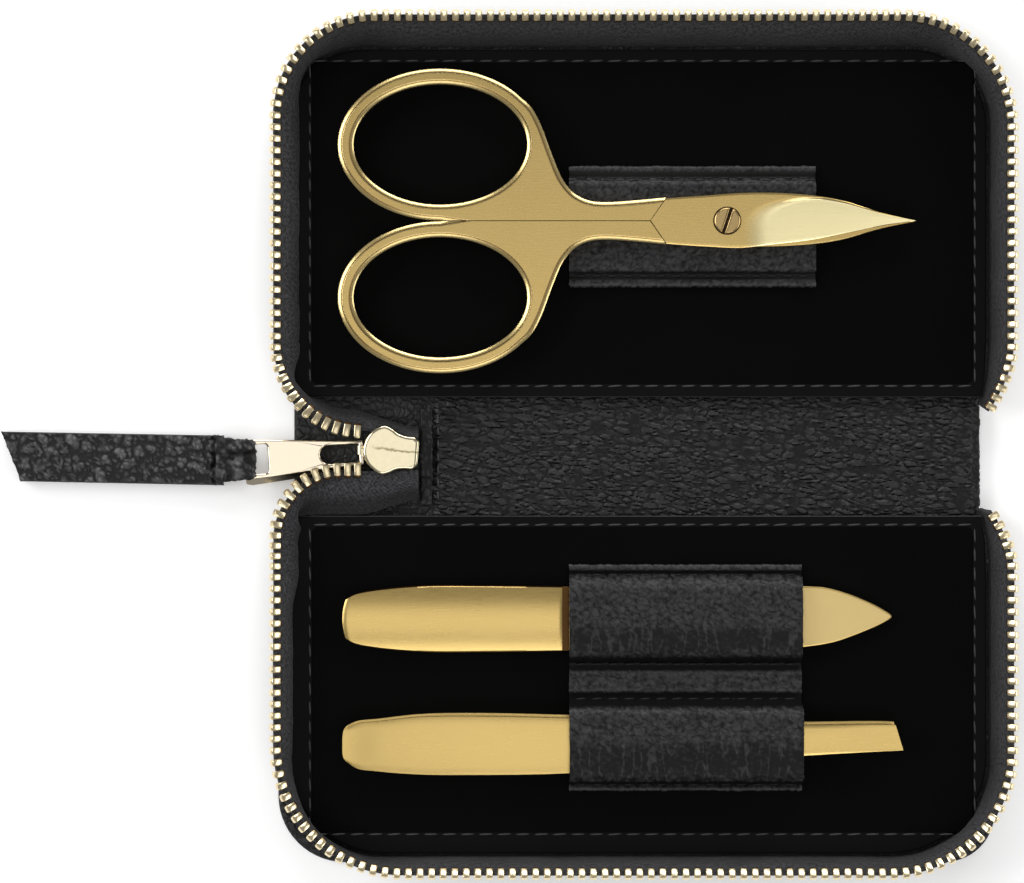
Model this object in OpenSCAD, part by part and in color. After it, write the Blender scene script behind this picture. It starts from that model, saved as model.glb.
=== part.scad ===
// Manicure set case: a leather zip case that opens flat like a book. It holds nail
// scissors, a nail file and tweezers. Millimetres. X runs along the spine, Y goes across
// it and Z up from the table. The origin is under the middle of the spine.

/* [Case] */
// Half of the width of a lining panel
panel_half = 54.85; // [50:0.05:60]
// Distance from the spine's middle to the far edge of the upper lining
upper_far = 63.9; // [60:0.1:66]
// Distance from the spine's middle to the far edge of the lower lining
lower_far = 62.35; // [60:0.05:66]
// Distance between the two fold lines of the spine
spine_w = 16.2; // [15.6:0.1:18]
// Distance from a fold line to the lining panel's near edge
lining_back = 1.2; // [1:0.1:2]
// Thickness of the outer leather
cover_t = 1.2; // [0.8:0.1:1.6]
// Thickness of the stiff board inside a cover
board_t = 1.1; // [0.8:0.1:1.4]
// Thickness of the lining over the board
lining_t = 0.8; // [0.5:0.1:1.1]
// How far the outer leather reaches past the lining
cover_past = 1.6; // [1.4:0.1:2.4]
// How far the outer leather is drawn in at the spine
cover_waist = 2.5; // [1:0.1:4]
// Corner radius of the outer leather
cover_r = 12; // [8:0.5:14]
// Corner radius of the upper lining
upper_lining_r = 12; // [11:0.5:12.5]
// Corner radius of the lower lining
lower_lining_r = 15.2; // [15:0.1:16]
// Thickness of the spine's inner leather
spine_lining_t = 0.5; // [0.4:0.05:0.6]
// Thickness of the spine's stiffener
spine_board_t = 0.35; // [0.3:0.05:0.4]

/* [Zip] */
// Height of the tape's upper edge over the table
tape_top = 7.9; // [7:0.1:8]
// Thickness of the tape
tape_t = 0.7; // [0.5:0.1:0.8]
// Distance between two teeth of one row
tooth_pitch = 1.8; // [1.6:0.05:2.2]
// Width of a tooth along the row
tooth_w = 0.95; // [0.8:0.05:1]
// Length of a tooth outside the tape
tooth_out = 1.5; // [1.2:0.1:1.7]
// Thickness of a tooth
tooth_t = 0.9; // [0.7:0.05:1]
// Rise of the teeth on the standing walls, in degrees
tooth_rise = 38; // [20:1:40]
// Distance of the tape's edge from the middle, left side
rim_left = 55.9; // [55.8:0.1:58]
// Distance of the tape's edge from the middle, right side
rim_right = 57.6; // [56:0.1:59]
// How far the upper wall leans out past the lining at the far side
upper_lean = 4.1; // [1:0.1:5]
// How far the lower wall leans out past the lining at the far side
lower_lean = 1.9; // [1:0.1:5]
// Corner radius of the upper wall's edge, left
upper_left_r = 15; // [12:0.2:17]
// Corner radius of the upper wall's edge, right
upper_right_r = 16.8; // [12:0.2:18]
// Corner radius of the lower wall's edge, left
lower_left_r = 19.4; // [16:0.2:19.6]
// Corner radius of the lower wall's edge, right
lower_right_r = 18.4; // [16:0.2:19.6]
// Distance from the spine's middle at which the stiff walls begin
wall_start = 17.8; // [17.7:0.1:19]
// Bend radius of the upper tail that runs to the slider
upper_tail_r = 12.8; // [10:0.2:12.8]
// Bend radius of the lower tail that runs to the slider
lower_tail_r = 8.7; // [8:0.1:12]
// Distance of the upper tail from the spine's middle at the slider
upper_tail_y = 4.8; // [4.7:0.05:4.85]
// Distance of the lower tail from the spine's middle at the slider
lower_tail_y = 3.75; // [3.6:0.05:3.9]

/* [Slider and pull] */
// Left point of the slider
slider_x = -42.9; // [-44:0.1:-41]
// Length of the slider
slider_l = 8.5; // [8:0.1:9]
// Distance of the slider's middle line from the spine's middle
slider_y = 0.6; // [0.3:0.1:0.9]
// Turn of the slider on the tape, in degrees
slider_turn = -4; // [-6:0.5:0]
// Thickness of a slider plate
plate_t = 0.5; // [0.4:0.05:0.6]
// Height of the room for the chain between the plates
chain_room = 1.1; // [1:0.05:1.2]
// Radius of the pull's pivot bar
bar_r = 0.4; // [0.35:0.01:0.45]
// Radial play of the pull's bar in the slider's eye
bar_play = 0.05; // [0.02:0.01:0.08]
// Length of the pull, past its pivot bar
pull_l = 18; // [16:0.5:20]
// Width of the pull at its left end
pull_w = 6.1; // [5:0.1:7]
// Width of the pull at its pivot
pull_neck = 4.4; // [4:0.1:5]
// Thickness of the pull
pull_t = 0.8; // [0.7:0.05:0.9]
// Length of the leather tag
tag_l = 34.5; // [30:0.5:38]
// Width of the leather tag
tag_w = 8; // [7:0.1:9]
// Thickness of the doubled tag leather
tag_t = 2.4; // [2:0.1:2.6]

/* [Straps] */
// Left end of the straps
strap_x = -10.7; // [-12:0.1:-9]
// Length of the lower strap along X
loops_l = 36.4; // [34:0.1:37]
// Length of the upper strap along X
band_l = 38.6; // [36:0.1:40]
// Near edge of the upper strap
band_y0 = 26.5; // [25:0.1:27]
// Far edge of the upper strap
band_y1 = 45.5; // [44:0.1:47]
// Thickness of the flattened upper strap
band_t = 1.5; // [1:0.1:1.5]
// Near edge of the lower strap
loops_y0 = -16.9; // [-18:0.1:-16]
// Far edge of the lower strap
loops_y1 = -52.4; // [-54:0.1:-52.4]
// Thickness of the lower strap's leather
strap_t = 0.9; // [0.7:0.1:0.9]
// Clear height inside the file's loop
file_loop_h = 2.9; // [2.9:0.1:3.4]
// Clear height inside the tweezers' loop
tweezers_loop_h = 4.6; // [4.6:0.1:4.9]

/* [Scissors] */
// Pivot of the scissors along X
pivot_x = 13.85; // [12:0.05:15]
// Pivot of the scissors along Y
pivot_y = 36.7; // [36:0.1:37]
// Thickness of the two scissors halves together
scissors_t = 2.3; // [2:0.1:2.4]
// Distance from the pivot to the tips
blade_l = 29.3; // [28:0.1:31]
// Radius of the screw's head
screw_head_r = 2.1; // [1.8:0.05:2.4]
// Height of the screw's head
screw_head_h = 0.45; // [0.3:0.05:0.5]
// Radius of the screw's shaft
screw_r = 1.1; // [1:0.05:1.2]
// Radial play of the turning half on the screw
screw_play = 0.03; // [0.02:0.01:0.08]
// Half length of a finger hole
hole_a = 13.55; // [13:0.05:14]
// Half width of a finger hole
hole_b = 9.4; // [9:0.05:9.6]
// Width of the metal round a finger hole
ring_w = 2.4; // [2:0.1:2.4]

/* [File and tweezers] */
// Left end of the file and the tweezers
tools_x = -46.1; // [-47:0.1:-46]
// Middle line of the file
file_y = -25.35; // [-25.5:0.05:-25.2]
// Length of the file's handle
handle_l = 34.3; // [33:0.1:35]
// Width of the file's handle
handle_w = 10.5; // [9:0.1:10.6]
// Thickness of the file's handle
handle_t = 2.6; // [2.2:0.1:3]
// Length of the whole file
file_l = 86; // [84:0.5:87]
// Thickness of the file's blade
blade_t = 0.9; // [0.6:0.1:0.9]
// Length of the blade's tang inside the handle
tang_l = 10; // [8:0.5:16]
// Middle line of the tweezers
tweezers_y = -44.8; // [-45:0.05:-44.6]
// Length of the tweezers
tweezers_l = 87.4; // [85:0.1:88]
// Thickness of one arm of the tweezers
arm_t = 0.9; // [0.7:0.05:0.95]
// Clear distance between the arms at their belly
arm_gap = 1.8; // [1.6:0.1:1.8]
// Clear distance between the tips
tip_gap = 2.2; // [2.2:0.1:2.4]
// Sideways offset of the tweezers' lower arm
arm_shift = 0.3; // [0:0.05:0.4]

/* [Hidden] */
fold = spine_w / 2;
seam = 0.05;
lie = 0.1;
board_z = cover_t;
lining_z = board_z + board_t;
floor_z = lining_z + lining_t;
near = fold + lining_back;
cover_half = panel_half + cover_past;
waist_half = cover_half - cover_waist;
base_half = panel_half + 0.15 + tape_t / 2;
upper_base = upper_far + 0.15 + tape_t / 2;
lower_base = lower_far + 0.15 + tape_t / 2;

bar_z = cover_t + 0.8;
plate_z = bar_z + bar_r + 0.1;
chain_z = plate_z + plate_t;
top_plate_z = chain_z + chain_room;
slider_top = top_plate_z + plate_t;
tail_z = chain_z + 0.75;
bar_x = slider_x - 0.45;
eye_x = bar_x - pull_l;

band_top = floor_z + band_t;
scissors_z = max(band_top, slider_top) + lie;
half_t = scissors_t / 2;
ring_y = hole_b + ring_w + 0.1;
ring_x = -(hole_a + ring_w + 28.7);

file_z = floor_z + lie;
blade_z = file_z + (handle_t - blade_t) / 2 - 0.25;
tweezers_z = floor_z + lie + arm_t + arm_gap / 2;
hinge_x = tools_x + 1;

curve_steps = 12;

// Paths

// One step of length d from place p, heading h, bending right with radius r (0 is straight).
function step(p, h, r, d) =
    r == 0
    ? [p[0] + d * cos(h), p[1] + d * sin(h), h]
    : let (g = h - d / r * 180 / PI)
      [p[0] + r * (sin(h) - sin(g)), p[1] + r * (cos(g) - cos(h)), g];

// The place and heading at distance s along a path of [length, radius] pieces.
function walk(p, h, pieces, s, i = 0) =
    s <= pieces[i][0] || i == len(pieces) - 1
    ? step(p, h, pieces[i][1], s)
    : let (q = step(p, h, pieces[i][1], pieces[i][0]))
      walk([q[0], q[1]], q[2], pieces, s - pieces[i][0], i + 1);

function path_at(path, s) = walk(path[0], path[1], path[2], s);
function lengths(path) = [for (piece = path[2]) piece[0]];
function sum(v, n) = n == 0 ? 0 : v[n - 1] + sum(v, n - 1);
function path_length(path) = sum(lengths(path), len(path[2]));

// Places at equal shares of each piece, so that two like paths pair up point by point.
function stations(path, steps) = [
    for (i = [0 : len(path[2]) - 1], j = [0 : (path[2][i][1] == 0 ? 1 : steps) - 1])
        path_at(path, sum(lengths(path), i) + path[2][i][0] * j / steps_in(path, i, steps)),
    path_at(path, path_length(path))
];
function steps_in(path, i, steps) = path[2][i][1] == 0 ? 1 : steps;
function left_of(q) = [-sin(q[2]), cos(q[2])];
function smooth(u) = u <= 0 ? 0 : u >= 1 ? 1 : u * u * (3 - 2 * u);

quarter = PI / 2;

// The standing wall's path: left side, far side and right side of one panel.
function wall_path(left, right, far, r_left, r_right) = [
    [-left, wall_start], 90, [
        [far - r_left - wall_start, 0],
        [quarter * r_left, r_left],
        [left + right - r_left - r_right, 0],
        [quarter * r_right, r_right],
        [far - r_right - wall_start, 0]
    ]
];

// The left tail's path, from the slider to the wall.
function tail_path(left, y, r) = [
    [slider_x - 0.1, y], 180, [
        [slider_x - 0.1 + left - r, 0],
        [quarter * r, r],
        [wall_start - y - r, 0]
    ]
];

// The right tail's path, from the wall to the end beside the spine.
function hook_path(right, r, turn) = [[right, wall_start], -90, [[PI / 180 * turn * r, r]]];

// A closed plate outline whose far corners are round and whose near corners are drawn in.
function plate_points(half, waist, y0, y1, r, reach) = [
    [waist, y0],
    [waist + (half - waist) * 0.7, y0 + reach * 0.4],
    [half, y0 + reach],
    for (i = [0 : curve_steps])
        let (a = 90 * i / curve_steps) [half - r + r * cos(a), y1 - r + r * sin(a)],
    for (i = [0 : curve_steps])
        let (a = 90 + 90 * i / curve_steps) [-half + r + r * cos(a), y1 - r + r * sin(a)],
    [-half, y0 + reach],
    [-waist - (half - waist) * 0.7, y0 + reach * 0.4],
    [-waist, y0]
];

module plate(half, waist, y0, y1, r, reach, z, t)
    translate([0, 0, z])
        linear_extrude(t)
            polygon(plate_points(half, waist, y0, y1, r, reach));

// A closed band through rings of four corners each.
module band_solid(rings) {
    last = 4 * (len(rings) - 1);
    polyhedron(
        points = [for (ring = rings) each ring],
        faces = concat(
            [[0, 1, 2], [0, 2, 3]],
            [
                for (i = [0 : len(rings) - 2], j = [0 : 3])
                    let (a = 4 * i + j, b = 4 * i + (j + 1) % 4)
                        each [[a, a + 4, b + 4], [a, b + 4, b]]
            ],
            [[last + 2, last + 1, last], [last + 3, last + 2, last]]
        )
    );
}

// A tape between a lower path and an upper path, at the heights z0 and z1 along it.
module tape(low, high, z0, z1, steps) {
    a = stations(low, steps);
    b = stations(high, steps);
    n = len(a) - 1;
    band_solid([
        for (i = [0 : n])
            let (
                m = left_of(a[i]) * tape_t / 2,
                k = left_of(b[i]) * tape_t / 2,
                za = z0[0] + (z0[1] - z0[0]) * smooth(i / n),
                zb = z1[0] + (z1[1] - z1[0]) * smooth(i / n)
            )
            [
                [a[i][0] - m[0], a[i][1] - m[1], za],
                [a[i][0] + m[0], a[i][1] + m[1], za],
                [b[i][0] + k[0], b[i][1] + k[1], zb],
                [b[i][0] - k[0], b[i][1] - k[1], zb]
            ]
    ]);
}

// One zip tooth: a flat body that clamps the tape, with a narrower head.
module tooth()
    translate([0, 0, -tooth_t / 2])
        linear_extrude(tooth_t)
            polygon([
                [-tooth_w / 2, -0.6],
                [tooth_w / 2, -0.6],
                [tooth_w / 2, tooth_out - 0.45],
                [tooth_w * 0.3, tooth_out],
                [-tooth_w * 0.3, tooth_out],
                [-tooth_w / 2, tooth_out - 0.45]
            ]);

// A row of teeth along a path; height and rise run from the first value to the second.
module teeth(path, z, rise) {
    total = path_length(path);
    count = round(total / tooth_pitch);
    for (i = [0 : count - 1]) {
        u = (i + 0.5) / count;
        q = path_at(path, u * total);
        translate([q[0], q[1], z[0] + (z[1] - z[0]) * smooth(u)])
            rotate([0, 0, q[2]])
                rotate([rise[0] + (rise[1] - rise[0]) * smooth(u), 0, 0])
                    tooth();
    }
}

upper_wall = wall_path(rim_left, rim_right, upper_far + upper_lean, upper_left_r, upper_right_r);
lower_wall = wall_path(rim_left, rim_right, lower_far + lower_lean, lower_left_r, lower_right_r);
upper_foot = wall_path(base_half, base_half, upper_base, upper_lining_r, upper_lining_r);
lower_foot = wall_path(base_half, base_half, lower_base, lower_lining_r, lower_lining_r);
upper_tail = tail_path(rim_left, upper_tail_y, upper_tail_r);
lower_tail = tail_path(rim_left, lower_tail_y, lower_tail_r);
upper_tail_foot = tail_path(base_half, upper_tail_y + 2.1, upper_tail_r - 2.2);
lower_tail_foot = tail_path(base_half, lower_tail_y + 2.1, lower_tail_r - 2.2);
upper_hook = hook_path(rim_right, 18, 40);
lower_hook = hook_path(rim_right, 16, 38);
upper_hook_foot = hook_path(base_half, 16, 40);
lower_hook_foot = hook_path(base_half, 14, 38);
wall_z = [tape_top, tape_top];
foot_z = [cover_t + 0.05, cover_t + 0.05];

// Outer leather

module cover_panel(far)
    color([0.12, 0.12, 0.13])
        plate(cover_half, waist_half, fold + seam, far + cover_past, cover_r, 6, 0, cover_t);

module cover_lower() mirror([0, 1, 0]) cover_panel(lower_far);

module cover_upper() cover_panel(upper_far);

module cover_spine()
    color([0.12, 0.12, 0.13])
        translate([-waist_half, seam - fold, 0])
            cube([2 * waist_half, spine_w - 2 * seam, cover_t]);

// Boards and linings

module board(far, r)
    color([0.45, 0.38, 0.3])
        plate(panel_half - 0.5, panel_half - 4.6, near + 0.2, far - 0.5, r, 8, board_z, board_t);

module board_lower() mirror([0, 1, 0]) board(lower_far, lower_lining_r);

module board_upper() board(upper_far, upper_lining_r);

module lining(far, r)
    color([0.07, 0.07, 0.08])
        plate(panel_half, panel_half - 3.8, near, far, r, 8, lining_z, lining_t);

module lining_lower() mirror([0, 1, 0]) lining(lower_far, lower_lining_r);

module lining_upper() lining(upper_far, upper_lining_r);

tab_x = slider_x + slider_l + 0.3;
tab_l = 2.1;

module board_spine()
    color([0.45, 0.38, 0.3])
        translate([tab_x + tab_l + 0.3, -fold + 1.6, cover_t])
            cube([waist_half - tab_x - tab_l - 4, spine_w - 3.2, spine_board_t]);

module lining_spine()
    color([0.12, 0.12, 0.13])
        difference() {
            translate([tab_x + tab_l, -fold + 0.5, cover_t])
                cube([
                    waist_half - tab_x - tab_l - 2.2,
                    spine_w - 1,
                    spine_board_t + spine_lining_t
                ]);
            translate([tab_x + tab_l + 0.3, -fold + 1.6, cover_t - 1])
                cube([waist_half - tab_x - tab_l - 4, spine_w - 3.2, spine_board_t + 1]);
        }

// Zip walls

module zip_tape_lower()
    color([0.2, 0.2, 0.21])
        mirror([0, 1, 0])
            tape(lower_foot, lower_wall, foot_z, wall_z, curve_steps);

module zip_tape_upper()
    color([0.2, 0.2, 0.21])
        tape(upper_foot, upper_wall, foot_z, wall_z, curve_steps);

module zip_teeth_lower()
    color([0.85, 0.74, 0.5])
        mirror([0, 1, 0])
            teeth(lower_wall, wall_z, [tooth_rise, tooth_rise]);

module zip_teeth_upper()
    color([0.85, 0.74, 0.5])
        teeth(upper_wall, wall_z, [tooth_rise, tooth_rise]);

// The free tails of the zip: limp tape that bends at each fold.

module tape_tails(tail, tail_foot, hook, hook_foot)
    color([0.2, 0.2, 0.21]) {
        tape(tail_foot, tail, [tail_z - 0.5, foot_z[0]], [tail_z, tape_top], curve_steps);
        tape(hook_foot, hook, [foot_z[0], cover_t + 0.9], [tape_top, cover_t + 2.2], curve_steps);
    }

module teeth_tails(tail, hook)
    color([0.85, 0.74, 0.5]) {
        teeth(tail, [tail_z, tape_top], [4, tooth_rise]);
        teeth(hook, [tape_top, cover_t + 2.2], [tooth_rise, 10]);
    }

module tape_tail_lower()
    mirror([0, 1, 0]) tape_tails(lower_tail, lower_tail_foot, lower_hook, lower_hook_foot);

module tape_tail_upper() tape_tails(upper_tail, upper_tail_foot, upper_hook, upper_hook_foot);

module teeth_tail_lower() mirror([0, 1, 0]) teeth_tails(lower_tail, lower_hook);

module teeth_tail_upper() teeth_tails(upper_tail, upper_hook);

// Small zip parts

stop_l = 1.2;

module zip_end_tab()
    color([0.12, 0.12, 0.13])
        difference() {
            union() {
                translate([tab_x, -fold + 0.6, cover_t])
                    cube([tab_l - 0.05, spine_w - 1.2, 1]);
                translate([tab_x, slider_y - 4, cover_t])
                    cube([tab_l - 0.05, 8, 1.6]);
            }
            translate([tab_x + 0.4, slider_y - 2, cover_t - 1])
                cube([stop_l, 4, 2.1]);
        }

module zip_bottom_stop()
    color([0.85, 0.74, 0.5])
        translate([tab_x + 0.4, slider_y - 2, cover_t + 0.05])
            cube([stop_l, 4, 1.05]);

module zip_top_stops()
    color([0.85, 0.74, 0.5])
        for (side = [-1, 1])
            translate([waist_half - 1.4, side * (fold - 1.6) - 1, cover_t])
                cube([1.2, 2, 0.9]);

// Slider: two plates on a neck, with an eye under the nose for the pull's bar.

module slider_outline()
    polygon([
        [0, 1.0],
        [0.8, 2.2],
        [2.5, 3.6],
        [3.4, 4.0],
        [4.2, 3.7],
        [5.3, 2.75],
        [slider_l, 2.75],
        [slider_l, -2.75],
        [5.3, -2.75],
        [4.2, -3.7],
        [3.4, -4.0],
        [2.5, -3.6],
        [0.8, -2.2],
        [0, -1.0]
    ]);

module slider_body()
    color([0.9, 0.82, 0.58])
        difference() {
            union() {
                translate([slider_x, slider_y, 0])
                    rotate([0, 0, slider_turn]) {
                        translate([0, 0, plate_z]) linear_extrude(plate_t) slider_outline();
                        translate([0, 0, top_plate_z]) linear_extrude(plate_t) slider_outline();
                        translate([0.3, -0.8, plate_z]) cube([2.4, 1.6, slider_top - plate_z]);
                        for (side = [-1, 1])
                            translate([5, side * 2.4 - 0.35, plate_z])
                                cube([slider_l - 5, 0.7, plate_t + 0.35]);
                        for (side = [-1, 1])
                            translate([5, side * 2.4 - 0.35, top_plate_z - 0.35])
                                cube([slider_l - 5, 0.7, plate_t + 0.35]);
                    }
                translate([bar_x, slider_y + 0.7, bar_z])
                    rotate([90, 0, 0])
                        cylinder(r = bar_r + bar_play + 0.3, h = 1.4, $fn = 48);
                translate([bar_x, slider_y - 0.7, plate_z])
                    cube([1.6, 1.4, plate_t]);
            }
            translate([bar_x, slider_y + 1, bar_z])
                rotate([90, 0, 0])
                    cylinder(r = bar_r + bar_play, h = 2, $fn = 48);
        }

module slider_pull()
    color([0.9, 0.82, 0.58])
        translate([bar_x, 0, bar_z]) {
            translate([0, pull_neck / 2 - 0.6, 0])
                rotate([90, 0, 0])
                    cylinder(r = bar_r, h = pull_neck - 1.2, $fn = 48);
            translate([0, 0, -pull_t / 2])
                linear_extrude(pull_t)
                    difference() {
                        polygon([
                            [0.4, -pull_neck / 2],
                            [0.4, pull_neck / 2],
                            [-10, pull_w / 2 - 0.2],
                            [-pull_l + 1, pull_w / 2],
                            [-pull_l - 0.5, pull_w / 2 - 0.5],
                            [-pull_l - 0.5, -pull_w / 2 + 0.5],
                            [-pull_l + 1, -pull_w / 2],
                            [-10, -pull_w / 2 + 0.2]
                        ]);
                        translate([-4.9, -1.5])
                            square([5.4, 3]);
                        translate([-4.9, 0])
                            circle(r = 1.5, $fn = 48);
                        translate([-pull_l + 0.5, -pull_w / 2 + 0.85])
                            square([3.3, pull_w - 1.7]);
                    }
        }

loop_r = 0.85;
loop_t = 0.85;
loop_w = pull_w - 2.2;
tag_join = eye_x - 4.2;

module tag_outline()
    polygon([
        [tag_join, tag_w * 0.44 - 0.2],
        [tag_join, -tag_w * 0.44 - 0.2],
        [tag_join - 1.6, -tag_w / 2],
        [tag_join - tag_l + 3.2, -tag_w / 2],
        [tag_join - tag_l, tag_w / 2 + 0.2],
        [tag_join - 1.6, tag_w / 2 - 0.6]
    ]);

module pull_tag()
    color([0.14, 0.14, 0.15])
        difference() {
            union() {
                translate([0, 0, 0.1]) linear_extrude(tag_t) tag_outline();
                translate([eye_x, loop_w / 2, bar_z])
                    rotate([90, 0, 0])
                        cylinder(r = loop_r + loop_t, h = loop_w, $fn = 64);
                translate([tag_join - 0.5, -loop_w / 2, bar_z - loop_r - loop_t])
                    cube([eye_x - tag_join + 0.5, loop_w, 2 * (loop_r + loop_t)]);
            }
            translate([eye_x, loop_w, bar_z])
                rotate([90, 0, 0])
                    cylinder(r = loop_r, h = 2 * loop_w, $fn = 64);
        }

// Straps

// A plump hump over a span of half width 1, from 0 at its edges to 1 on top.
function hump(u, p, q) = abs(u) >= 1 ? 0 : pow(1 - pow(abs(u), p), 1 / q);

hump_steps = 16;

function hump_points(middle, half, base, height, p, q) = [
    for (i = [0 : hump_steps])
        let (u = -cos(180 * i / hump_steps))
            [middle - u * half, base + height * hump(u, p, q)]
];

file_half = handle_w / 2 + 0.8;
tweezers_half = 5.6;

// The lower strap in cross-section, from its near edge to its far edge.
module loops_section()
    difference() {
        polygon(concat(
            [[loops_y0, 0], [loops_y0, strap_t]],
            hump_points(file_y, file_half + strap_t, strap_t, file_loop_h, 3, 2),
            hump_points(tweezers_y, tweezers_half + strap_t, strap_t, tweezers_loop_h, 6, 2.5),
            [[loops_y1, strap_t], [loops_y1, 0]]
        ));
        polygon(concat(
            [[file_y + file_half, -1]],
            hump_points(file_y, file_half, 0, file_loop_h, 3, 2),
            [[file_y - file_half, -1]]
        ));
        polygon(concat(
            [[tweezers_y + tweezers_half, -1]],
            hump_points(tweezers_y, tweezers_half, 0, tweezers_loop_h, 6, 2.5),
            [[tweezers_y - tweezers_half, -1]]
        ));
    }

module tool_loops()
    color([0.1, 0.1, 0.11])
        translate([strap_x, 0, floor_z])
            rotate([90, 0, 90])
                linear_extrude(loops_l)
                    loops_section();

module scissors_strap()
    color([0.1, 0.1, 0.11])
        translate([strap_x, 0, floor_z])
            rotate([90, 0, 90])
                linear_extrude(band_l)
                    polygon([
                        [band_y0, 0],
                        [band_y0, band_t * 0.6],
                        [band_y0 + 1.5, band_t * 0.6],
                        [band_y0 + 1.8, band_t * 0.4],
                        [band_y0 + 2.2, band_t * 0.85],
                        [band_y0 + 3, band_t],
                        [band_y1 - 2.9, band_t],
                        [band_y1 - 2.1, band_t * 0.85],
                        [band_y1 - 1.7, band_t * 0.4],
                        [band_y1 - 1.4, band_t * 0.6],
                        [band_y1, band_t * 0.6],
                        [band_y1, 0]
                    ]);

// Scissors, in the pivot's own frame

function oval_points(x, y, a, b, n) = [
    for (i = [0 : n - 1]) [x + a * cos(360 * i / n), y + b * sin(360 * i / n)]
];

// A blade with its back on the given side of the middle line; depth 1 is the full width.
function blade_points(side, depth) = [
    [-3.2, side * 3.9],
    [2.2, side * 4.5],
    [blade_l * 0.27, side * 4.45 * depth],
    [blade_l * 0.48, side * 3.95 * depth],
    [blade_l * 0.63, side * 3.1 * depth],
    [blade_l * 0.72, side * 2.25 * depth],
    [blade_l * 0.81, side * 1.4 * depth],
    [blade_l, 0],
    [blade_l * 0.85, side * -0.6],
    [blade_l * 0.69, side * -1.6],
    [blade_l * 0.46, side * -2.9],
    [blade_l * 0.2, side * -3.8],
    [2.2, side * -4.2],
    [-3.2, side * -3.9]
];

// The shank of one half, at full thickness up to the lap joint.
function shank_points(side) = [
    [ring_x, side * 0.05],
    [-12, side * 0.05],
    [-9.8, side * 2.95],
    [-9.5, side * 3.65],
    [-15.3, side * 3.1],
    [-19.7, side * 2.93],
    [-22.1, side * 3.35],
    [-24.3, side * 4.6],
    [-26, side * 6.6],
    [-27.6, side * 9.6],
    [-28.7, side * 12.2],
    [ring_x, side * 12.2]
];

// The lap round the pivot, where each half is half as thick; it reaches into its own shank.
function lap_points(side) = [
    [-14, side * 0.05],
    [-11.9, side * 0.05],
    [-11.8, side * -0.05],
    [-9.7, side * -2.7],
    [-9.2, side * -3.4],
    [-3.2, side * -3.9],
    [-3.2, side * 3.9],
    [-7.2, side * 3.9],
    [-9.5, side * 3.65],
    [-14, side * 3.2]
];

module scissors_handle(side)
    difference() {
        union() {
            polygon(oval_points(ring_x, side * ring_y, hole_a + ring_w, hole_b + ring_w, 64));
            polygon(shank_points(side));
        }
        polygon(oval_points(ring_x, side * ring_y, hole_a, hole_b, 64));
    }

// side 1 is the upper ring with the under blade, side -1 the lower ring with the top blade.
module scissors_half(side, bore_r) {
    z = side > 0 ? 0 : half_t;
    difference() {
        union() {
            linear_extrude(scissors_t) scissors_handle(side);
            translate([0, 0, z]) linear_extrude(half_t) polygon(lap_points(side));
            translate([0, 0, z]) linear_extrude(half_t) polygon(blade_points(-side, side > 0 ? 0.9 : 1));
        }
        translate([0, 0, -1]) cylinder(r = bore_r, h = scissors_t + 2, $fn = 64);
    }
}

module place_scissors() translate([pivot_x, pivot_y, scissors_z]) children();

module scissors_half_upper()
    color([0.82, 0.68, 0.4])
        place_scissors()
            scissors_half(1, screw_r);

module scissors_half_lower()
    color([0.82, 0.68, 0.4])
        place_scissors()
            translate([0, 0, 0.02])
                scissors_half(-1, screw_r + screw_play);

module scissors_screw()
    color([0.85, 0.72, 0.45])
        place_scissors()
            difference() {
                union() {
                    cylinder(r = screw_r, h = scissors_t + 0.1, $fn = 64);
                    translate([0, 0, scissors_t + 0.05])
                        cylinder(r = screw_head_r, h = screw_head_h, $fn = 64);
                }
                translate([0, 0, scissors_t + 0.05 + screw_head_h])
                    rotate([0, 0, 71.6])
                        cube([2 * screw_head_r + 1, 0.8, 0.5], center = true);
            }

// File

module file_handle()
    color([0.82, 0.68, 0.4])
        translate([tools_x, file_y, file_z])
            difference() {
                intersection() {
                    linear_extrude(handle_t)
                        polygon([
                            [0, handle_w * 0.3],
                            [1.2, handle_w * 0.36],
                            [12, handle_w / 2],
                            [23, handle_w / 2],
                            [handle_l, handle_w * 0.486],
                            [handle_l, -handle_w * 0.486],
                            [23, -handle_w / 2],
                            [12, -handle_w / 2],
                            [1.2, -handle_w * 0.36],
                            [0, -handle_w * 0.3]
                        ]);
                    translate([-1, 0, handle_t - 20])
                        rotate([0, 90, 0])
                            cylinder(r = 20, h = handle_l + 2, $fn = 128);
                    translate([-1, 0, 20])
                        rotate([0, 90, 0])
                            cylinder(r = 20, h = handle_l + 2, $fn = 128);
                }
                translate([handle_l - tang_l, -3, blade_z - file_z])
                    cube([tang_l + 1, 6, blade_t]);
            }

module file_blade()
    color([0.85, 0.73, 0.45])
        translate([tools_x, file_y, blade_z])
            linear_extrude(blade_t)
                polygon([
                    [handle_l - tang_l, -3],
                    [handle_l, -3],
                    [handle_l, -4.9],
                    [file_l - 14, -4.55],
                    [file_l - 9.8, -4.1],
                    [file_l - 7.3, -3.2],
                    [file_l - 4.6, -2.35],
                    [file_l - 2, -1],
                    [file_l, 0.3],
                    [file_l - 1.4, 1.65],
                    [file_l - 4, 3.05],
                    [file_l - 7.3, 4.1],
                    [file_l - 12, 5.05],
                    [handle_l, 5],
                    [handle_l, 3],
                    [handle_l - tang_l, 3]
                ]);

// Tweezers: two sprung arms that meet at the butt.

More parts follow.
